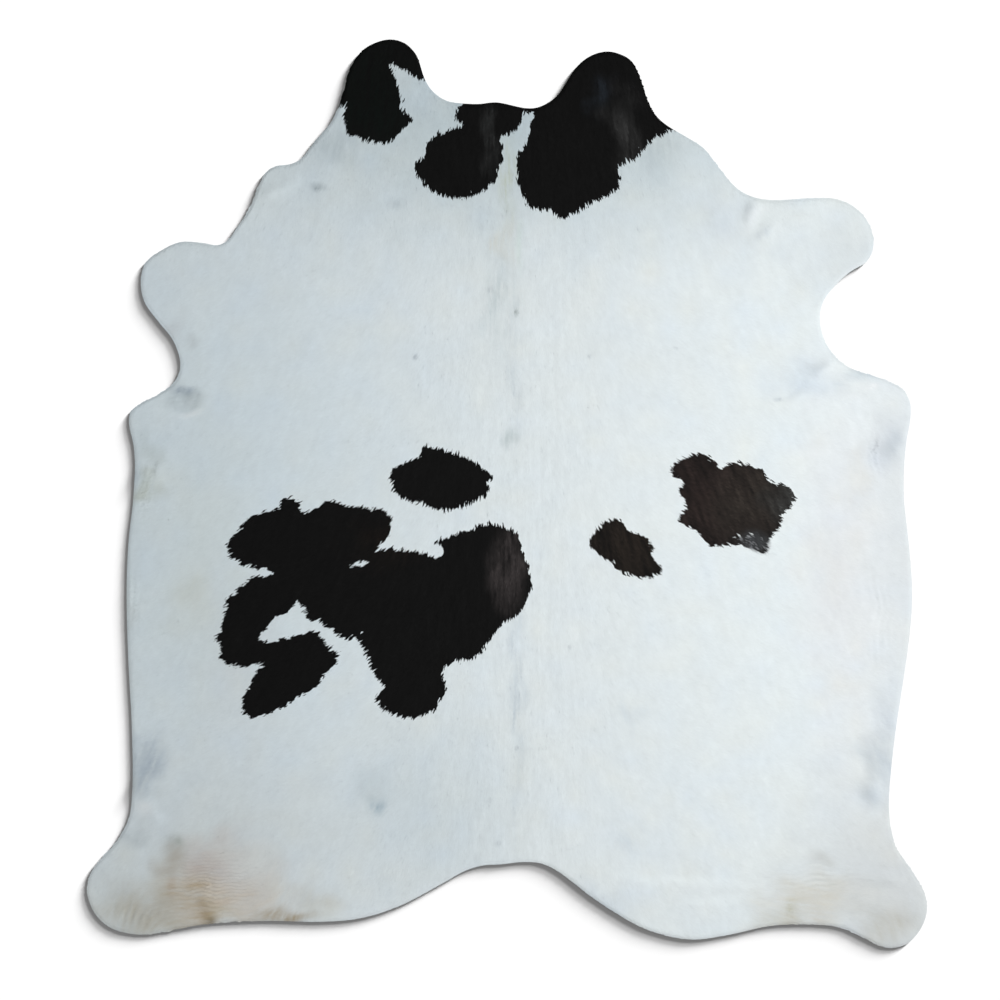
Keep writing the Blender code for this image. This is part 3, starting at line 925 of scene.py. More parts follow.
@dataclass
class CoatColours:
    """The animal's colours at any place, with some painted shade and light: where its coat is dark,
    and each side's shades.
    """

    form: HideForm
    white: str = "#e1e9eb"
    faded_white: str = "#5e6064"  # the pale hairs where dark and white mix
    dark: str = "#0d0d0d"
    crease_painted_shade: float = 90.0  # painted light and shade: how much lighter a ridge is and darker a trough, for each metre of its height
    dark_streak_share: float = 0.085  # how much the dark hair's streaks differ in light
    cloud_share: float = 0.005  # and the white coat's soft clouds
    hue_share: float = 0.008  # how far soft clouds lean to blue or to beige
    cloud_cell: float = 0.045
    hue_lean: tuple[float, float, float] = (1.0, 0.2, -1.2)  # the way from blue to beige
    backbone_reach: float = 0.16  # the backbone's veins are half gone this far from it
    backbone_edge: float = 1.5  # and all gone at this many times that
    streak_turn: float = 0.35  # the colours drift towards the flanks less than the hair does
    border_spans: int = 5  # points for each that a patch's table gives
    stain_wander: float = 0.35  # how far a stain's edge strays, in its half widths
    widest_wander: float = 0.016  # no edge strays further than this
    patch_reach: float = 0.06  # past this from a patch nothing is worked out for it
    faded_edge: float = 0.008  # how wide the mixed hair's border is
    seed: int = 11

    def __post_init__(self) -> None:
        """Makes the drawn-out grains and the soft clouding."""
        low, high = self.form.cut.min(0), self.form.cut.max(0)
        rng = np.random.default_rng(self.seed)
        self.grains = [self.drawn_out(grain, rng, low, high) for grain in GRAINS]
        self.clouds = [PlanGrid.over(low, high, self.cloud_cell) for _ in range(2)]
        for grid in self.clouds:
            grid.roughen(rng)

    def drawn_out(self, grain: Grain, rng: np.random.Generator, low: Array, high: Array) -> PlanGrid:
        """Random values smeared along the way the coat lies.

        Args:
            grain: its scale.
            rng: the source of the values.
            low: the hide's lower left corner.
            high: its upper right corner.

        Returns:
            The values, with a spread of 1.
        """
        grid = PlanGrid.over(low, high, grain.cell)
        grid.roughen(rng)
        at = grid.crossings()
        total = np.zeros(len(at))
        for _ in range(grain.reach):
            total += grid.at(at)
            at = at + grain.cell * self.form.flow.directions(at, self.streak_turn)
        grid.values = (total / total.std()).reshape(grid.values.shape)
        return grid

    def inside(self, patch: Patch, points: Array) -> tuple[Array, Array]:
        """Measures the points that are near a patch.

        Args:
            patch: the patch.
            points: places in plan.

        Returns:
            Which of the points are near, and how far inside its border those are.
        """
        border = smooth_loop(np.array(patch.border), self.border_spans)
        low, high = border.min(0) - self.patch_reach, border.max(0) + self.patch_reach
        near = np.all((points > low) & (points < high), axis=1)
        return near, depth_inside(points[near], border)

    def darkness(self, points: Array) -> Array:
        """Measures how deep in the dark patches the points are.

        Args:
            points: places in plan.

        Returns:
            The distance from the nearest border; below 0 the coat is white.
        """
        depth = np.full(len(points), -1.0)
        for patch in PATCHES:
            near, inside = self.inside(patch, points)
            if patch.marking is Marking.DARK:
                depth[near] = np.maximum(depth[near], inside)
            elif patch.marking is Marking.WHITE_GAP:
                depth[near] = np.minimum(depth[near], -inside)
            else:
                depth[near] = np.where(inside > 0, 0.0, depth[near])
        return depth

    def fade(self, points: Array) -> Array:
        """Finds where the white hair takes the greyer shade of mixed hair.

        Args:
            points: places in plan.

        Returns:
            A column with that shade's share at each of them.
        """
        share = np.zeros(len(points))
        for patch in PATCHES:
            if patch.marking is Marking.MIXED:
                near, inside = self.inside(patch, points)
                share[near] = ease(inside / self.faded_edge + 0.5)
        return share[:, None]

    def washed(self, points: Array, ground: str, tints: tuple[Tint, ...]) -> Array:
        """Lays tints over a ground colour, one after the other, in linear light. Their edges
        stray, and thin out along the coat's streaks.

        Args:
            points: places in plan.
            ground: the colour under the tints.
            tints: what is laid over it.

        Returns:
            The colour at each point.
        """
        shades = np.tile(linear(ground), (len(points), 1))
        streaks = self.grains[0].at(points)
        wander = self.form.wander(points)
        for tint in tints:
            turn = math.radians(tint.turn)
            stray = min(self.stain_wander * min(tint.half_across, tint.half_along), self.widest_wander)
            offset = points + stray * wander - [tint.x, tint.y]
            across = offset @ [math.cos(turn), math.sin(turn)] / tint.half_across
            along = offset @ [-math.sin(turn), math.cos(turn)] / tint.half_along
            share = tint.strength * ease(1 - np.hypot(across, along))
            share = np.clip(share * (1 + tint.streaky * streaks), 0, 1)[:, None]
            shades = shades * (1 - share) + np.array(linear(tint.shade)) * share
        return shades

    def white_coat(self, points: Array) -> Array:
        """Works out the white hair's colours, with painted shade in the troughs of wrinkles and
        creases and painted light on their ridges.

        Args:
            points: places in plan.

        Returns:
            The colour at each of them.
        """
        shades = self.washed(points, self.white, WHITE_TINTS)
        faded = self.fade(points)
        shades = shades * (1 - faded) + np.array(linear(self.faded_white)) * faded
        away = np.abs(points[:, 0] - BACKBONE_X) / self.backbone_reach
        near = ease(self.backbone_edge - away)
        vein = 1 + self.cloud_share * self.clouds[0].at(points)
        # painted shade in the troughs of wrinkles and creases, painted light on their ridges
        vein += self.crease_painted_shade * self.form.wrinkles(points)
        for grain, values in zip(GRAINS, self.grains):
            strength = grain.elsewhere + (grain.at_backbone - grain.elsewhere) * near
            vein += strength * values.at(points)
        hue = self.hue_share * self.clouds[1].at(points)
        return shades * vein[:, None] * (1 + hue[:, None] * np.array(self.hue_lean))

    def dark_coat(self, points: Array) -> Array:
        """Colours of the dark hair."""
        shades = self.washed(points, self.dark, DARK_TINTS)
        return shades * (1 + self.dark_streak_share * self.grains[0].at(points))[:, None]


# ------------------------------------------------------------- finishes


class Finish:
    """What every finish has: one principled surface, fed by the sockets that it works out."""

    name: str

    def sockets(self, tree: bpy.types.NodeTree) -> Sockets:
        """What feeds the surface, by socket; each finish has its own."""
        raise NotImplementedError

    def material(self) -> bpy.types.Material:
        """Makes the finish.

        Returns:
            The new material.
        """
        material, tree = new_material(self.name)
        surface = add_node(tree, "ShaderNodeBsdfPrincipled", self.sockets(tree))
        add_node(tree, "ShaderNodeOutputMaterial", {"Surface": surface.outputs[0]})
        return material


@dataclass(frozen=True)
class CowHair(Finish):
    """Short cattle hair, straight and smooth along its length: it scatters light softly and
    has a faint sheen that shows where it is seen along the surface."""

    name: str
    roughness: float
    gloss: float  # how much of the usual reflection a hair's scales leave
    sheen: float
    strand_contrast: float  # how much single hairs differ within a lock
    ior: float = 1.55  # keratin's
    strands: float = 9.0  # hairs' bundles across one lock
    along: float = 0.6  # how often a bundle changes along it

    def sockets(self, tree: bpy.types.NodeTree) -> Sockets:
        """Takes the coat's own shades and varies them hair by hair.

        Args:
            tree: the material's node tree.

        Returns:
            What feeds the surface, by socket.
        """
        shade = add_node(tree, "ShaderNodeAttribute", attribute_name=COAT_COLOUR)
        lock = add_node(tree, "ShaderNodeUVMap", uv_map=STRAND_MAP)
        stretch = (self.strands, self.along, 1.0)
        stretched = add_node(tree, "ShaderNodeMapping", {"Vector": lock.outputs[0], "Scale": stretch})
        hairs = add_node(
            tree, "ShaderNodeTexNoise", {"Vector": stretched.outputs[0], "Scale": 1.0, "Detail": 2.0}
        )
        bright = add_node(
            tree,
            "ShaderNodeMapRange",
            {
                "Value": hairs.outputs[0],
                "From Min": 0.25,
                "From Max": 0.75,
                "To Min": 1 - self.strand_contrast,
                "To Max": 1 + self.strand_contrast,
            },
        )
        colour = add_node(
            tree,
            "ShaderNodeMix",
            {MIX_SHARE: 1.0, MIX_UNDER: shade.outputs["Color"], MIX_OVER: bright.outputs[0]},
            data_type="RGBA",
            blend_type="MULTIPLY",
        )
        return {
            "Base Color": colour.outputs[MIXED_COLOUR],
            "Roughness": self.roughness,
            "IOR": self.ior,
            "Specular IOR Level": self.gloss,
            "Sheen Weight": self.sheen,
            "Sheen Roughness": 0.5,
        }


@dataclass(frozen=True)
class SkinUnderHair(Finish):
    """The grain side of the skin, seen only deep between the locks: it has the coat's colour,
    because pigment sits in the hair's roots, and no shine at all."""

    name: str = "grain_side_of_the_skin"
    pore_pitch: float = 0.0022  # real pores are under 1 mm apart and wouldn't show
    pore_depth: float = 0.0004

    def sockets(self, tree: bpy.types.NodeTree) -> Sockets:
        """Takes the coat's shades and dents them with pores.

        Args:
            tree: the material's node tree.

        Returns:
            What feeds the surface, by socket.
        """
        shade = add_node(tree, "ShaderNodeAttribute", attribute_name=COAT_COLOUR)
        place = add_node(tree, "ShaderNodeTexCoord").outputs["Object"]
        pores = add_node(
            tree, "ShaderNodeTexNoise", {"Vector": place, "Scale": 1 / self.pore_pitch, "Detail": 2.0}
        )
        relief = add_node(
            tree,
            "ShaderNodeBump",
            {"Height": pores.outputs[0], "Strength": 0.3, "Distance": self.pore_depth},
        )
        return {
            "Base Color": shade.outputs["Color"],
            "Roughness": 0.85,
            "Specular IOR Level": 0.15,
            "Normal": relief.outputs[0],
        }


@dataclass(frozen=True)
class FleshSuede(Finish):
    """The flesh side, chrome tanned and buffed to a short nap: dry, pale and slightly blue, in
    soft clouds, with fine fibres standing up."""

    name: str = "buffed_flesh_suede"
    pale: str = "#c9cbc8"
    deep: str = "#b3b6b4"
    cloud_size: float = 0.16
    nap_size: float = 0.0025  # buffed fibres are finer and wouldn't show
    nap_depth: float = 0.0006

    def sockets(self, tree: bpy.types.NodeTree) -> Sockets:
        """Clouds the suede and raises its nap.

        Args:
            tree: the material's node tree.

        Returns:
            What feeds the surface, by socket.
        """
        place = add_node(tree, "ShaderNodeTexCoord").outputs["Object"]
        cloud = add_node(
            tree, "ShaderNodeTexNoise", {"Vector": place, "Scale": 1 / self.cloud_size, "Detail": 5.0}
        )
        nap = add_node(
            tree, "ShaderNodeTexNoise", {"Vector": place, "Scale": 1 / self.nap_size, "Detail": 3.0}
        )
        deep, pale = (*linear(self.deep), 1.0), (*linear(self.pale), 1.0)
        colour = add_node(
            tree,
            "ShaderNodeMix",
            {MIX_SHARE: cloud.outputs[0], MIX_UNDER: deep, MIX_OVER: pale},
            data_type="RGBA",
        )
        relief = add_node(
            tree,
            "ShaderNodeBump",
            {"Height": nap.outputs[0], "Strength": 0.5, "Distance": self.nap_depth},
        )
        return {
            "Base Color": colour.outputs[MIXED_COLOUR],
            "Roughness": 0.95,
            "Specular IOR Level": 0.1,
            "Sheen Weight": 0.15,
            "Normal": relief.outputs[0],
        }


@dataclass(frozen=True)
class CutLeather(Finish):
    """The knife's cut through the skin: bare tanned fibre, pale and dull, with soiled spots."""

    name: str = "knife_cut_leather"
    shade: str = "#b8b9b6"
    dirt: str = "#8f8f8b"
    fibre_size: float = 0.004

    def sockets(self, tree: bpy.types.NodeTree) -> Sockets:
        """Mixes the fibre's shade with its dirt.

        Args:
            tree: the material's node tree.

        Returns:
            What feeds the surface, by socket.
        """
        place = add_node(tree, "ShaderNodeTexCoord").outputs["Object"]
        fibre = add_node(
            tree, "ShaderNodeTexNoise", {"Vector": place, "Scale": 1 / self.fibre_size, "Detail": 4.0}
        )
        dirt, shade = (*linear(self.dirt), 1.0), (*linear(self.shade), 1.0)
        colour = add_node(
            tree,
            "ShaderNodeMix",
            {MIX_SHARE: fibre.outputs[0], MIX_UNDER: dirt, MIX_OVER: shade},
            data_type="RGBA",
        )
        return {
            "Base Color": colour.outputs[MIXED_COLOUR],
            "Roughness": 0.9,
            "Specular IOR Level": 0.1,
        }


@dataclass(frozen=True)
class MattVinyl(Finish):
    """Matt white studio vinyl, even and without shine, which lamps of its own burn out to
    plain white, so that only the rug's soft shadow shows on it."""

    name: str = "matt_white_vinyl"
    shade: str = "#f4f4f4"

    def sockets(self, tree: bpy.types.NodeTree) -> Sockets:
        """The vinyl is the same all over."""
        colour = (*linear(self.shade), 1.0)
        return {"Base Color": colour, "Roughness": 0.9, "Specular IOR Level": 0.0}


# ---------------------------------------------------------------- the skin


@dataclass
class HideSkin:
    """The tanned skin: one thin closed sheet from the flesh side to the bed of dense hair
    round the roots, which the locks lie on."""

    form: HideForm
    colours: CoatColours
    spacing: float = 0.014  # between the points over most of the skin
    border_spacing: float = 0.007  # and where a dark patch ends or a crease runs
    border_reach: float = 0.012  # how far from a patch's border that begins
    least_fold: float = 0.0003  # where the skin is lifted more than this, points are close too
    bed: float = 0.55  # how much of the coat's depth the hair round the roots fills
    ring_depths: tuple[float, ...] = (0.003, 0.008)  # how far the rings are inside the cut
    ring_keep: float = 0.8  # ring points nearer the cut than this share of its depth go
    merge: float = 1e-7  # points closer than this are one
    border_blend: float = 0.004  # how wide the skin's colour changes at a dark patch
    sharp_angle: float = math.radians(50)

    def rings(self) -> Iterator[Array]:
        """Places points along the cut and in the rings just inside it.

        Yields:
            The points of the cut, and then of each ring.
        """
        cut = self.form.cut
        yield cut
        along = np.roll(cut, -1, 0) - np.roll(cut, 1, 0)
        inward = np.stack([-along[:, 1], along[:, 0]], 1)
        inward /= np.linalg.norm(inward, axis=1, keepdims=True)
        for distance in self.ring_depths:
            moved = cut + inward * distance
            yield moved[self.form.depth_grid.at(moved) > self.ring_keep * distance]

    def middle(self) -> Array:
        """Places points over the sheet, closer where a dark patch ends or a crease runs.

        Returns:
            The points in plan.
        """
        low, high = self.form.cut.min(0), self.form.cut.max(0)
        even = hex_field(low, high, self.spacing)
        close = hex_field(low, high, self.border_spacing)
        both = np.concatenate([even[~self.is_busy(even)], close[self.is_busy(close)]])
        return both[self.form.depth_grid.at(both) > self.ring_depths[-1] + 0.5 * self.spacing]

    def is_busy(self, points: Array) -> Array:
        """Whether each point is at a dark patch's border or on a crease."""
        border = np.abs(self.colours.darkness(points)) < self.border_reach
        return border | (self.form.lift(points) > self.least_fold)

    def build(self) -> bpy.types.Object:
        """Makes the sheet, flesh side, cut and hair side in one closed mesh.

        Returns:
            The new object.
        """
        rings = list(self.rings())
        count = len(rings[0])
        plan = np.concatenate([*rings, self.middle()])
        cut = [list(range(count))]
        places, _, faces, *_ = delaunay_2d_cdt(plan.tolist(), [], cut, KEEP_INSIDE, self.merge)
        plan = np.array([tuple(p) for p in places])
        faces = np.array(faces)
        low = self.form.lift(plan)
        high = self.form.skin_top(plan) + self.bed * self.form.coat(plan)
        total = len(plan)
        corners = np.concatenate([np.column_stack([plan, low]), np.column_stack([plan, high])])
        ring = np.arange(count)
        following = np.roll(ring, -1)
        wall = np.concatenate(
            [
                np.stack([ring, following, following + total], 1),
                np.stack([ring, following + total, ring + total], 1),
            ]
        )
        triangles = np.concatenate([faces + total, faces[:, ::-1], wall])
        slots = np.repeat([0, 1, 2], [len(faces), len(faces), len(wall)])
        mesh = triangle_mesh("tanned_skin", corners, triangles)
        mesh.polygons.foreach_set("material_index", slots.astype(np.int32))
        self.paint(mesh, corners[:, :2])
        for finish in (SkinUnderHair(), FleshSuede(), CutLeather()):
            mesh.materials.append(finish.material())
        mesh.polygons.foreach_set("use_smooth", np.ones(len(triangles), bool))
        mesh.set_sharp_from_angle(angle=self.sharp_angle)
        return link(bpy.data.objects.new("tanned_skin", mesh))

    def paint(self, mesh: bpy.types.Mesh, plan: Array) -> None:
        """Gives the skin the coat's shades.

        Args:
            mesh: the skin's mesh.
            plan: where each of its corners is.
        """
        dark = ease(self.colours.darkness(plan) / self.border_blend + 0.5)[:, None]
        shades = self.colours.white_coat(plan) * (1 - dark) + self.colours.dark_coat(plan) * dark
        write_shades(mesh, shades)

    def dress(self, skin: bpy.types.Object, coats: list[bpy.types.Object]) -> None:
        """Args:
            skin: the sheet.
            coats: the coat's pieces.
        """
        width, length = self.form.cut.max(0) - self.form.cut.min(0)
        x, y = self.form.cut.T
        area = abs(x @ np.roll(y, -1) - y @ np.roll(x, -1)) / 2
        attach(skin, BODY)
        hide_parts(HIDE_NODE)
        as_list(coats)
        log.info("skin: %.3f by %.3f m, %.2f square metres", width, length, area)


# ---------------------------------------------------------------- the coat


@dataclass(frozen=True)
class CoatPart:
    """One piece of the coat: the hair rooted in a share of the hide's length and width."""

    name: str
    dark: bool
    low: tuple[float, float] = (-FAR, -FAR)
    high: tuple[float, float] = (FAR, FAR)


WAIST_Y = -0.18  # the coat's fore and hind pieces meet here, each with about half of the locks

COAT_PARTS = (
    CoatPart("coat_left_fore", False, (-FAR, WAIST_Y), (BACKBONE_X, FAR)),
    CoatPart("coat_right_fore", False, (BACKBONE_X, WAIST_Y), (FAR, FAR)),
    CoatPart("coat_left_hind", False, (-FAR, -FAR), (BACKBONE_X, WAIST_Y)),
    CoatPart("coat_right_hind", False, (BACKBONE_X, -FAR), (FAR, WAIST_Y)),
    CoatPart("dark_patches", True),
)

# A lock has five corners: left and right at its root, left and right at its middle, and its tip.
LOCK_TRIANGLES = np.array([[0, 1, 3], [0, 3, 2], [2, 3, 4]])
LOCK_MAP = np.array([[1.0, 0.0], [0.0, 0.0], [1.0, 0.5], [0.0, 0.5], [0.5, 1.0]])
LOCK_CORNERS = len(LOCK_MAP)


@dataclass
class Coat:
    """The lying coat: flat, pointed locks of hair that overlap towards the tail like thatch."""

    form: HideForm
    colours: CoatColours
    spacing: float = 0.0039  # between roots; real hairs are far denser
    root_stray: float = 0.42  # how far a root is off its even place, in spacings
    root_inset: float = 0.0004  # no hair is rooted nearer the cut than this
    length: float = 0.019
    length_spread: float = 0.096
    tuft_length_spread: float = 0.12
    width: float = 0.0042
    width_spread: float = 0.22
    root_width: float = 0.80  # as a share of the middle's
    bend_spread: float = 0.05  # how far a lock's middle is off its line, in lengths
    levels: tuple[float, float] = (0.94, 1.03)  # how low and high locks lie in the coat's depth
    stray: float = math.radians(6)  # how far single locks turn aside
    tuft_size: float = 0.011  # neighbours within this lean the same way
    tuft_stray: float = math.radians(4)  # how far they turn aside together
    lie: tuple[float, float, float] = (0.84, 0.94, 1.0)  # root, middle and tip in the coat's depth
    middle_share: float = 0.58  # where along the lock its middle is
    seen_share: float = 0.80  # the part past this shows; the rest lies under other locks
    root_shade: tuple[float, float, float] = (0.95, 0.985, 1.0)  # painted shade: the light at the same three, darker towards the root under the other locks
    dark_jitter: float = 0.10  # how much single dark locks differ in light
    white_jitter: float = 0.006  # and single white ones
    normal_jitter: float = 0.010  # how much the locks differ in the way they face the light
    tip_tilt: float = 0.03  # how far the shading leans back towards the roots
    tuft_wander: float = 0.0021  # how far a dark patch's border strays from tuft to tuft
    lock_wander: float = 0.0015  # and from lock to lock
    border_bias: float = 0.0010  # locks this far outside a patch's border are still dark
    overhang: float = 0.0006  # the knife trims hair about this far past the skin
    rim_length: float = 0.0050  # of the locks that start at the cut and point into the hide
    rim_growth: float = 1.0  # how much longer they get for each metre that they start further in
    least_fall: float = 0.15  # slower than this towards the cut, a lock counts as running beside it
    least_length: float = 0.35  # what the knife leaves of a lock, which moves back inside
    strand_step: float = 1.37  # moves each lock to another place in the pattern of its hairs
    strand_rounds: int = 97  # locks before the places repeat
    seed: int = 23

    def __post_init__(self) -> None:
        """Roots every lock and works out where it lies and what colour it is."""
        rng = np.random.default_rng(self.seed)
        low, high = self.form.cut.min(0), self.form.cut.max(0)
        roots = hex_field(low, high, self.spacing)
        roots = roots + rng.uniform(-self.root_stray, self.root_stray, roots.shape) * self.spacing
        roots = roots[self.form.depth_grid.at(roots) > self.root_inset]
        count = len(roots)
        tufts = self.tuft_grids(rng, low, high)
        lean = self.stray * rng.standard_normal(count) + self.tuft_stray * tufts[0].at(roots)
        way = self.form.flow.directions(roots)
        cos, sin = np.cos(lean), np.sin(lean)
        way = np.stack([way[:, 0] * cos - way[:, 1] * sin, way[:, 0] * sin + way[:, 1] * cos], 1)
        length = self.length * (1 + self.length_spread * rng.standard_normal(count))
        length *= 1 + self.tuft_length_spread * tufts[1].at(roots)
        roots, length = self.trim(roots, way, length)
        self.roots, self.way, self.lengths = roots, way, length
        self.widths = self.width * (1 + self.width_spread * rng.uniform(-1, 1, count))
        self.level = rng.uniform(*self.levels, count)
        self.bend = rng.standard_normal(count) * self.bend_spread
        self.shade = rng.standard_normal(count)
        seen = roots + way * (self.seen_share * length)[:, None]
        wander = self.tuft_wander * tufts[2].at(seen) + self.lock_wander * rng.standard_normal(count)
        self.is_dark = self.colours.darkness(seen) + wander + self.border_bias > 0

    def tuft_grids(self, rng: np.random.Generator, low: Array, high: Array) -> list[PlanGrid]:
        """Makes random values that neighbours share.

        Args:
            rng: the source of the values.
            low: the hide's lower left corner.
            high: its upper right corner.

        Returns:
            A grid each for lean, length and border.
        """
        grids = [PlanGrid.over(low, high, self.tuft_size) for _ in range(3)]
        for grid in grids:
            grid.roughen(rng)
        return grids

    def trim(self, roots: Array, way: Array, length: Array) -> tuple[Array, Array]:
        """Cuts the locks that reach past the knife's cut and moves their roots back inside.
        Those that start at the cut and point inward are short, as nothing covers their roots.

        Args:
            roots: where the locks are rooted.
            way: where each points.
            length: how long each has grown.

        Returns:
            The roots and the lengths that the knife leaves.
        """
        root_depth = self.form.depth_grid.at(roots)
        tip_depth = self.form.depth_grid.at(roots + way * length[:, None])
        short = np.minimum(length, self.rim_length + self.rim_growth * root_depth)
        length = np.where(tip_depth > root_depth, short, length)
        tip_depth = self.form.depth_grid.at(roots + way * length[:, None])
        over = np.maximum(-self.overhang - tip_depth, 0)
        fall = np.maximum((root_depth - tip_depth) / length, self.least_fall)
        cut = np.minimum(over / fall, length)
        keep = np.maximum(length - cut, self.least_length * length)
        back = np.maximum(keep - (length - cut), 0)
        return roots - way * back[:, None], keep

    def build_part(self, part: CoatPart, material: bpy.types.Material) -> bpy.types.Object:
        """Makes one piece of the coat.

        Args:
            part: which locks it has.
            material: the hair's finish.

        Returns:
            The new object.
        """
        inside = np.all((self.roots >= part.low) & (self.roots < part.high), axis=1)
        chosen = np.flatnonzero(inside & (self.is_dark == part.dark))
        corners, places = self.corners(chosen)
        first = np.arange(len(chosen))[:, None, None] * LOCK_CORNERS
        triangles = (first + LOCK_TRIANGLES).reshape(-1, 3)
        mesh = triangle_mesh(part.name, corners.reshape(-1, 3), triangles)
        self.map_surface(mesh, corners, triangles)
        self.shade_locks(mesh, part, chosen, places)
        mesh.materials.append(material)
        self.face(mesh, chosen, places)
        log.info("%s: %d locks, %d triangles", part.name, len(chosen), len(triangles))
        return link(bpy.data.objects.new(part.name, mesh))

    def corners(self, chosen: Array) -> tuple[Array, list[Array]]:
        """Places the corners of the locks.

        Args:
            chosen: the locks' numbers.

        Returns:
            The corners, lock by lock, and the plans of the roots, the middles and the tips.
        """
        root, way = self.roots[chosen], self.way[chosen]
        length, width = self.lengths[chosen][:, None], self.widths[chosen][:, None]
        side = np.stack([-way[:, 1], way[:, 0]], 1)
        middle = root + way * length * self.middle_share + side * length * self.bend[chosen][:, None]
        tip = root + way * length
        places = [root, middle, tip]
        half = side * width * 0.5
        foot = half * self.root_width
        plan = np.stack([root + foot, root - foot, middle + half, middle - half, tip], 1)
        heights = [
            self.form.skin_top(place) + self.form.coat(place) * share * self.level[chosen]
            for place, share in zip(places, self.lie)
        ]
        return np.concatenate([plan, self.per_corner(heights)[..., None]], 2), places

    @staticmethod
    def per_corner(values: list[Array]) -> Array:
        """Spreads values for the roots, the middles and the tips over the locks' five corners."""
        root, middle, tip = values
        return np.stack([root, root, middle, middle, tip], 1)

    def map_surface(self, mesh: bpy.types.Mesh, corners: Array, triangles: Array) -> None:
        """Gives a piece two maps: its plan for the baked colours, and each lock's own.

        Args:
            mesh: the piece's mesh.
            corners: its corners, lock by lock.
            triangles: its faces.
        """
        plan = corners[..., :2].reshape(-1, 2)
        low = plan.min(0)
        flat = (plan - low) / (plan.max(0) - low).max()
        lock = np.tile(LOCK_MAP, (len(corners), 1))
        rounds = np.arange(len(corners)) % self.strand_rounds
        lock[:, 0] += np.repeat(rounds, LOCK_CORNERS) * self.strand_step
        for name, values in ((BAKE_MAP, flat), (STRAND_MAP, lock)):
            layer = mesh.uv_layers.new(name=name)
            layer.uv.foreach_set("vector", values[triangles.ravel()].astype(np.float32).ravel())

    def shade_locks(
        self, mesh: bpy.types.Mesh, part: CoatPart, chosen: Array, places: list[Array]
    ) -> None:
        """Colours each lock by where it lies, with painted shade a little darker at its root.

        Args:
            mesh: the piece's mesh.
            part: which piece it is.
            chosen: its locks' numbers.
            places: the plans of their roots, middles and tips.
        """
        coat = self.colours.dark_coat if part.dark else self.colours.white_coat
        jitter = self.dark_jitter if part.dark else self.white_jitter
        own = (1 + jitter * self.shade[chosen])[:, None]
        # painted shade: darker towards each lock's root
        shades = self.per_corner(
            [coat(place) * own * share for place, share in zip(places, self.root_shade)]
        )
        write_shades(mesh, np.clip(shades, 0, 1).reshape(-1, 3))

    def face(self, mesh: bpy.types.Mesh, chosen: Array, places: list[Array]) -> None:
        """Turns the locks' shading to the coat's own surface, so that they read as one smooth
        coat and not as scales.

        Args:
            mesh: the piece's mesh.
            chosen: its locks' numbers.
            places: the plans of their roots, middles and tips.
        """
        mesh.polygons.foreach_set("use_smooth", np.ones(len(mesh.polygons), bool))
        rng = np.random.default_rng(self.seed + len(chosen))
        facing = self.per_corner([self.form.normals(place) for place in places])
        facing[..., :2] -= self.tip_tilt * self.way[chosen][:, None, :]
        facing += self.normal_jitter * rng.standard_normal((len(chosen), 1, 3))
        facing /= np.linalg.norm(facing, axis=2, keepdims=True)
        mesh.normals_split_custom_set_from_vertices(facing.reshape(-1, 3).astype(np.float32))

    def build(self) -> list[bpy.types.Object]:
        """Makes and dresses all the pieces of the coat.

        Returns:
            The pieces.
        """
        white = CowHair("white_cow_hair", roughness=0.55, gloss=0.25, sheen=0.12, strand_contrast=0.04)
        dark = CowHair("black_cow_hair", roughness=0.50, gloss=0.04, sheen=0.0, strand_contrast=0.15)
        finishes = {True: dark.material(), False: white.material()}
        pieces = []
        for part in COAT_PARTS:
            piece = self.build_part(part, finishes[part.dark])
            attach(piece, BODY)
            pieces.append(piece)
        return pieces


# ---------------------------------------------------------------- the studio


@dataclass(frozen=True)
class StudioFloor:
    """A flat sheet of studio vinyl that reaches past the picture on all sides."""

    half_size: float = 40.0
    drop: float = 0.0003  # how far it lies under the flesh side

    def build(self) -> bpy.types.Object:
        """Makes the floor.

        Returns:
            The new object.
        """
        s, z = self.half_size, -self.drop
        corners = np.array([(-s, -s, z), (s, -s, z), (s, s, z), (-s, s, z)])
        mesh = triangle_mesh("studio_floor", corners, np.array([[0, 1, 2], [0, 2, 3]]))
        mesh.materials.append(MattVinyl().material())
        floor = link(bpy.data.objects.new("studio_floor", mesh))
        floor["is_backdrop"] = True
        return floor


@dataclass(frozen=True)
class Wash:
    """A distant lamp that only the floor takes: its strength, and its height above the floor
    and its width in degrees. Its height sets how far the rug's shadow reaches."""

    name: str
    strength: float
    height: float
    softness: float


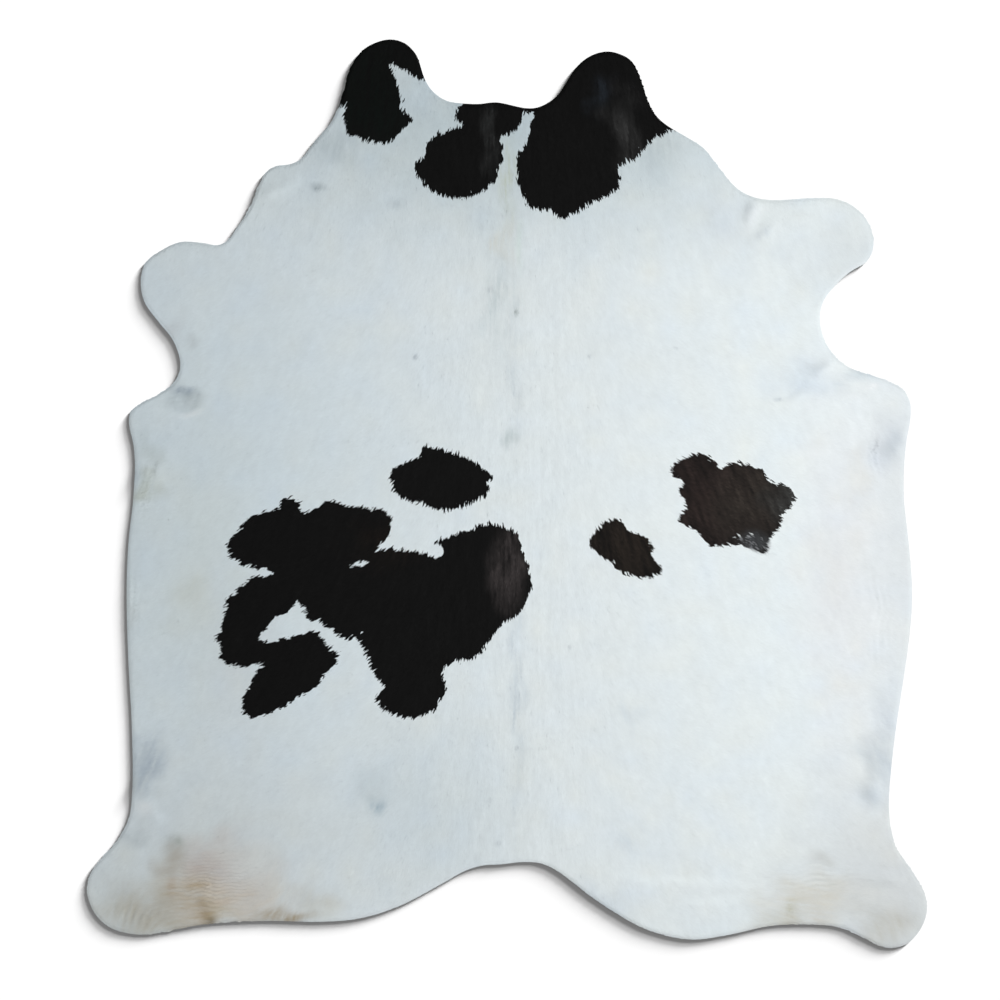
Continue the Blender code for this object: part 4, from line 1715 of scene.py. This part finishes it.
@dataclass
class Studio:
    """The camera straight above the rug, and the lamps: a broad one at the right and a soft one
    overhead for the rug, and two low ones that only the floor takes."""

    picture_width: float = 2.4  # how much of the floor the picture spans
    focal: float = 0.100
    sensor: float = 0.036
    aim: tuple[float, float] = (-0.0170, -0.0154)  # the middle of the picture
    key_power: float = 100.2
    key_place: tuple[float, float, float] = (2.3, 0.0, 3.2)
    key_side: float = 2.4
    fill_power: float = 41.4
    fill_height: float = 3.4
    fill_side: float = 4.0
    sky: float = 0.22  # the strength of the even light from all round
    washes: tuple[Wash, ...] = (Wash("low_wash", 14.5, 7, 8), Wash("high_wash", 4.9, 14, 12))
    wash_heading: float = math.radians(45)
    sight: float = 200.0  # how far the camera sees

    def camera(self) -> None:
        """Sets the camera at the height that gives the picture its width."""
        data = bpy.data.cameras.new("overhead")
        data.lens = self.focal * 1000
        data.sensor_width = self.sensor * 1000
        data.clip_end = self.sight
        camera = link(bpy.data.objects.new("overhead", data))
        camera.location = (*self.aim, self.picture_width * self.focal / self.sensor)
        bpy.context.scene.camera = camera

    def lamp(
        self, name: str, kind: str, only: list[bpy.types.Object], **settings: object
    ) -> bpy.types.Object:
        """Adds a lamp that lights only the given objects and is itself unseen.

        Args:
            name: what the lamp is called.
            kind: Blender's kind of lamp.
            only: the objects that it lights.
            **settings: the lamp's own properties.

        Returns:
            The lamp's object, at the origin and pointing down.
        """
        data = bpy.data.lights.new(name, kind)
        for key, value in settings.items():
            setattr(data, key, value)
        lamp = link(bpy.data.objects.new(name, data))
        lamp.visible_camera = False
        lit = bpy.data.collections.new(f"lit_by_{name}")
        for thing in only:
            lit.objects.link(thing)
        lamp.light_linking.receiver_collection = lit
        return lamp

    def lamps(self, rug: list[bpy.types.Object], floor: bpy.types.Object) -> None:
        """Places the lamps.

        Args:
            rug: the pieces of the rug.
            floor: the floor.
        """
        key = self.lamp("key", "AREA", rug, energy=self.key_power, shape="DISK", size=self.key_side)
        key.location = self.key_place
        x, y, z = self.key_place
        key.rotation_euler = (0.0, math.atan2(math.hypot(x, y), z), math.atan2(y, x))
        square = {"shape": "SQUARE", "size": self.fill_side}
        fill = self.lamp("fill", "AREA", rug, energy=self.fill_power, **square)
        fill.location = (0.0, 0.0, self.fill_height)
        for wash in self.washes:
            softness = math.radians(wash.softness)
            sun = self.lamp(wash.name, "SUN", [floor], energy=wash.strength, angle=softness)
            sun.rotation_euler = (0.0, math.radians(90 - wash.height), self.wash_heading)

    def world(self) -> None:
        """A dim even sky for light, which the camera sees as plain white."""
        world = bpy.data.worlds.new("white_studio")
        bpy.context.scene.world = world
        world.use_nodes = True
        tree = world.node_tree
        tree.nodes.clear()
        ray = add_node(tree, "ShaderNodeLightPath")
        dim, white = (
            add_node(tree, "ShaderNodeBackground", {"Color": WHITE, "Strength": strength})
            for strength in (self.sky, 1.0)
        )
        seen = {0: ray.outputs["Is Camera Ray"], 1: dim.outputs[0], 2: white.outputs[0]}
        both = add_node(tree, "ShaderNodeMixShader", seen)
        add_node(tree, "ShaderNodeOutputWorld", {"Surface": both.outputs[0]})

    def build(self, rug: list[bpy.types.Object]) -> None:
        """Sets up floor, lamps, sky and camera.

        Args:
            rug: the pieces of the rug.
        """
        floor = StudioFloor().build()
        self.lamps(rug, floor)
        self.world()
        self.camera()
        bpy.context.scene.view_settings.view_transform = "Standard"
        log.info("studio: floor, %d lamps, sky and camera", 2 + len(self.washes))


def write_sizes() -> None:
    """Works out the solid model's box and the dressed model's box; nothing keeps them."""
    boxes = {"cad": CAD_BOX, "visual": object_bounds()}
    plain = {name: [[float(v) for v in corner] for corner in box] for name, box in boxes.items()}


def main() -> None:
    """Builds the rug on its frame and the studio round it."""
    logging.basicConfig(level=logging.INFO, format="%(name)s: %(message)s")
    form = HideForm(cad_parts[HIDE_NODE])
    log.info("hide: %d points along the cut", len(form.cut))
    colours = CoatColours(form)
    skin_maker = HideSkin(form, colours)
    skin = skin_maker.build()
    coats = Coat(form, colours).build()
    skin_maker.dress(skin, coats)
    Studio().build([skin, *coats])
    write_sizes()


if __name__ == "__main__":
    main()
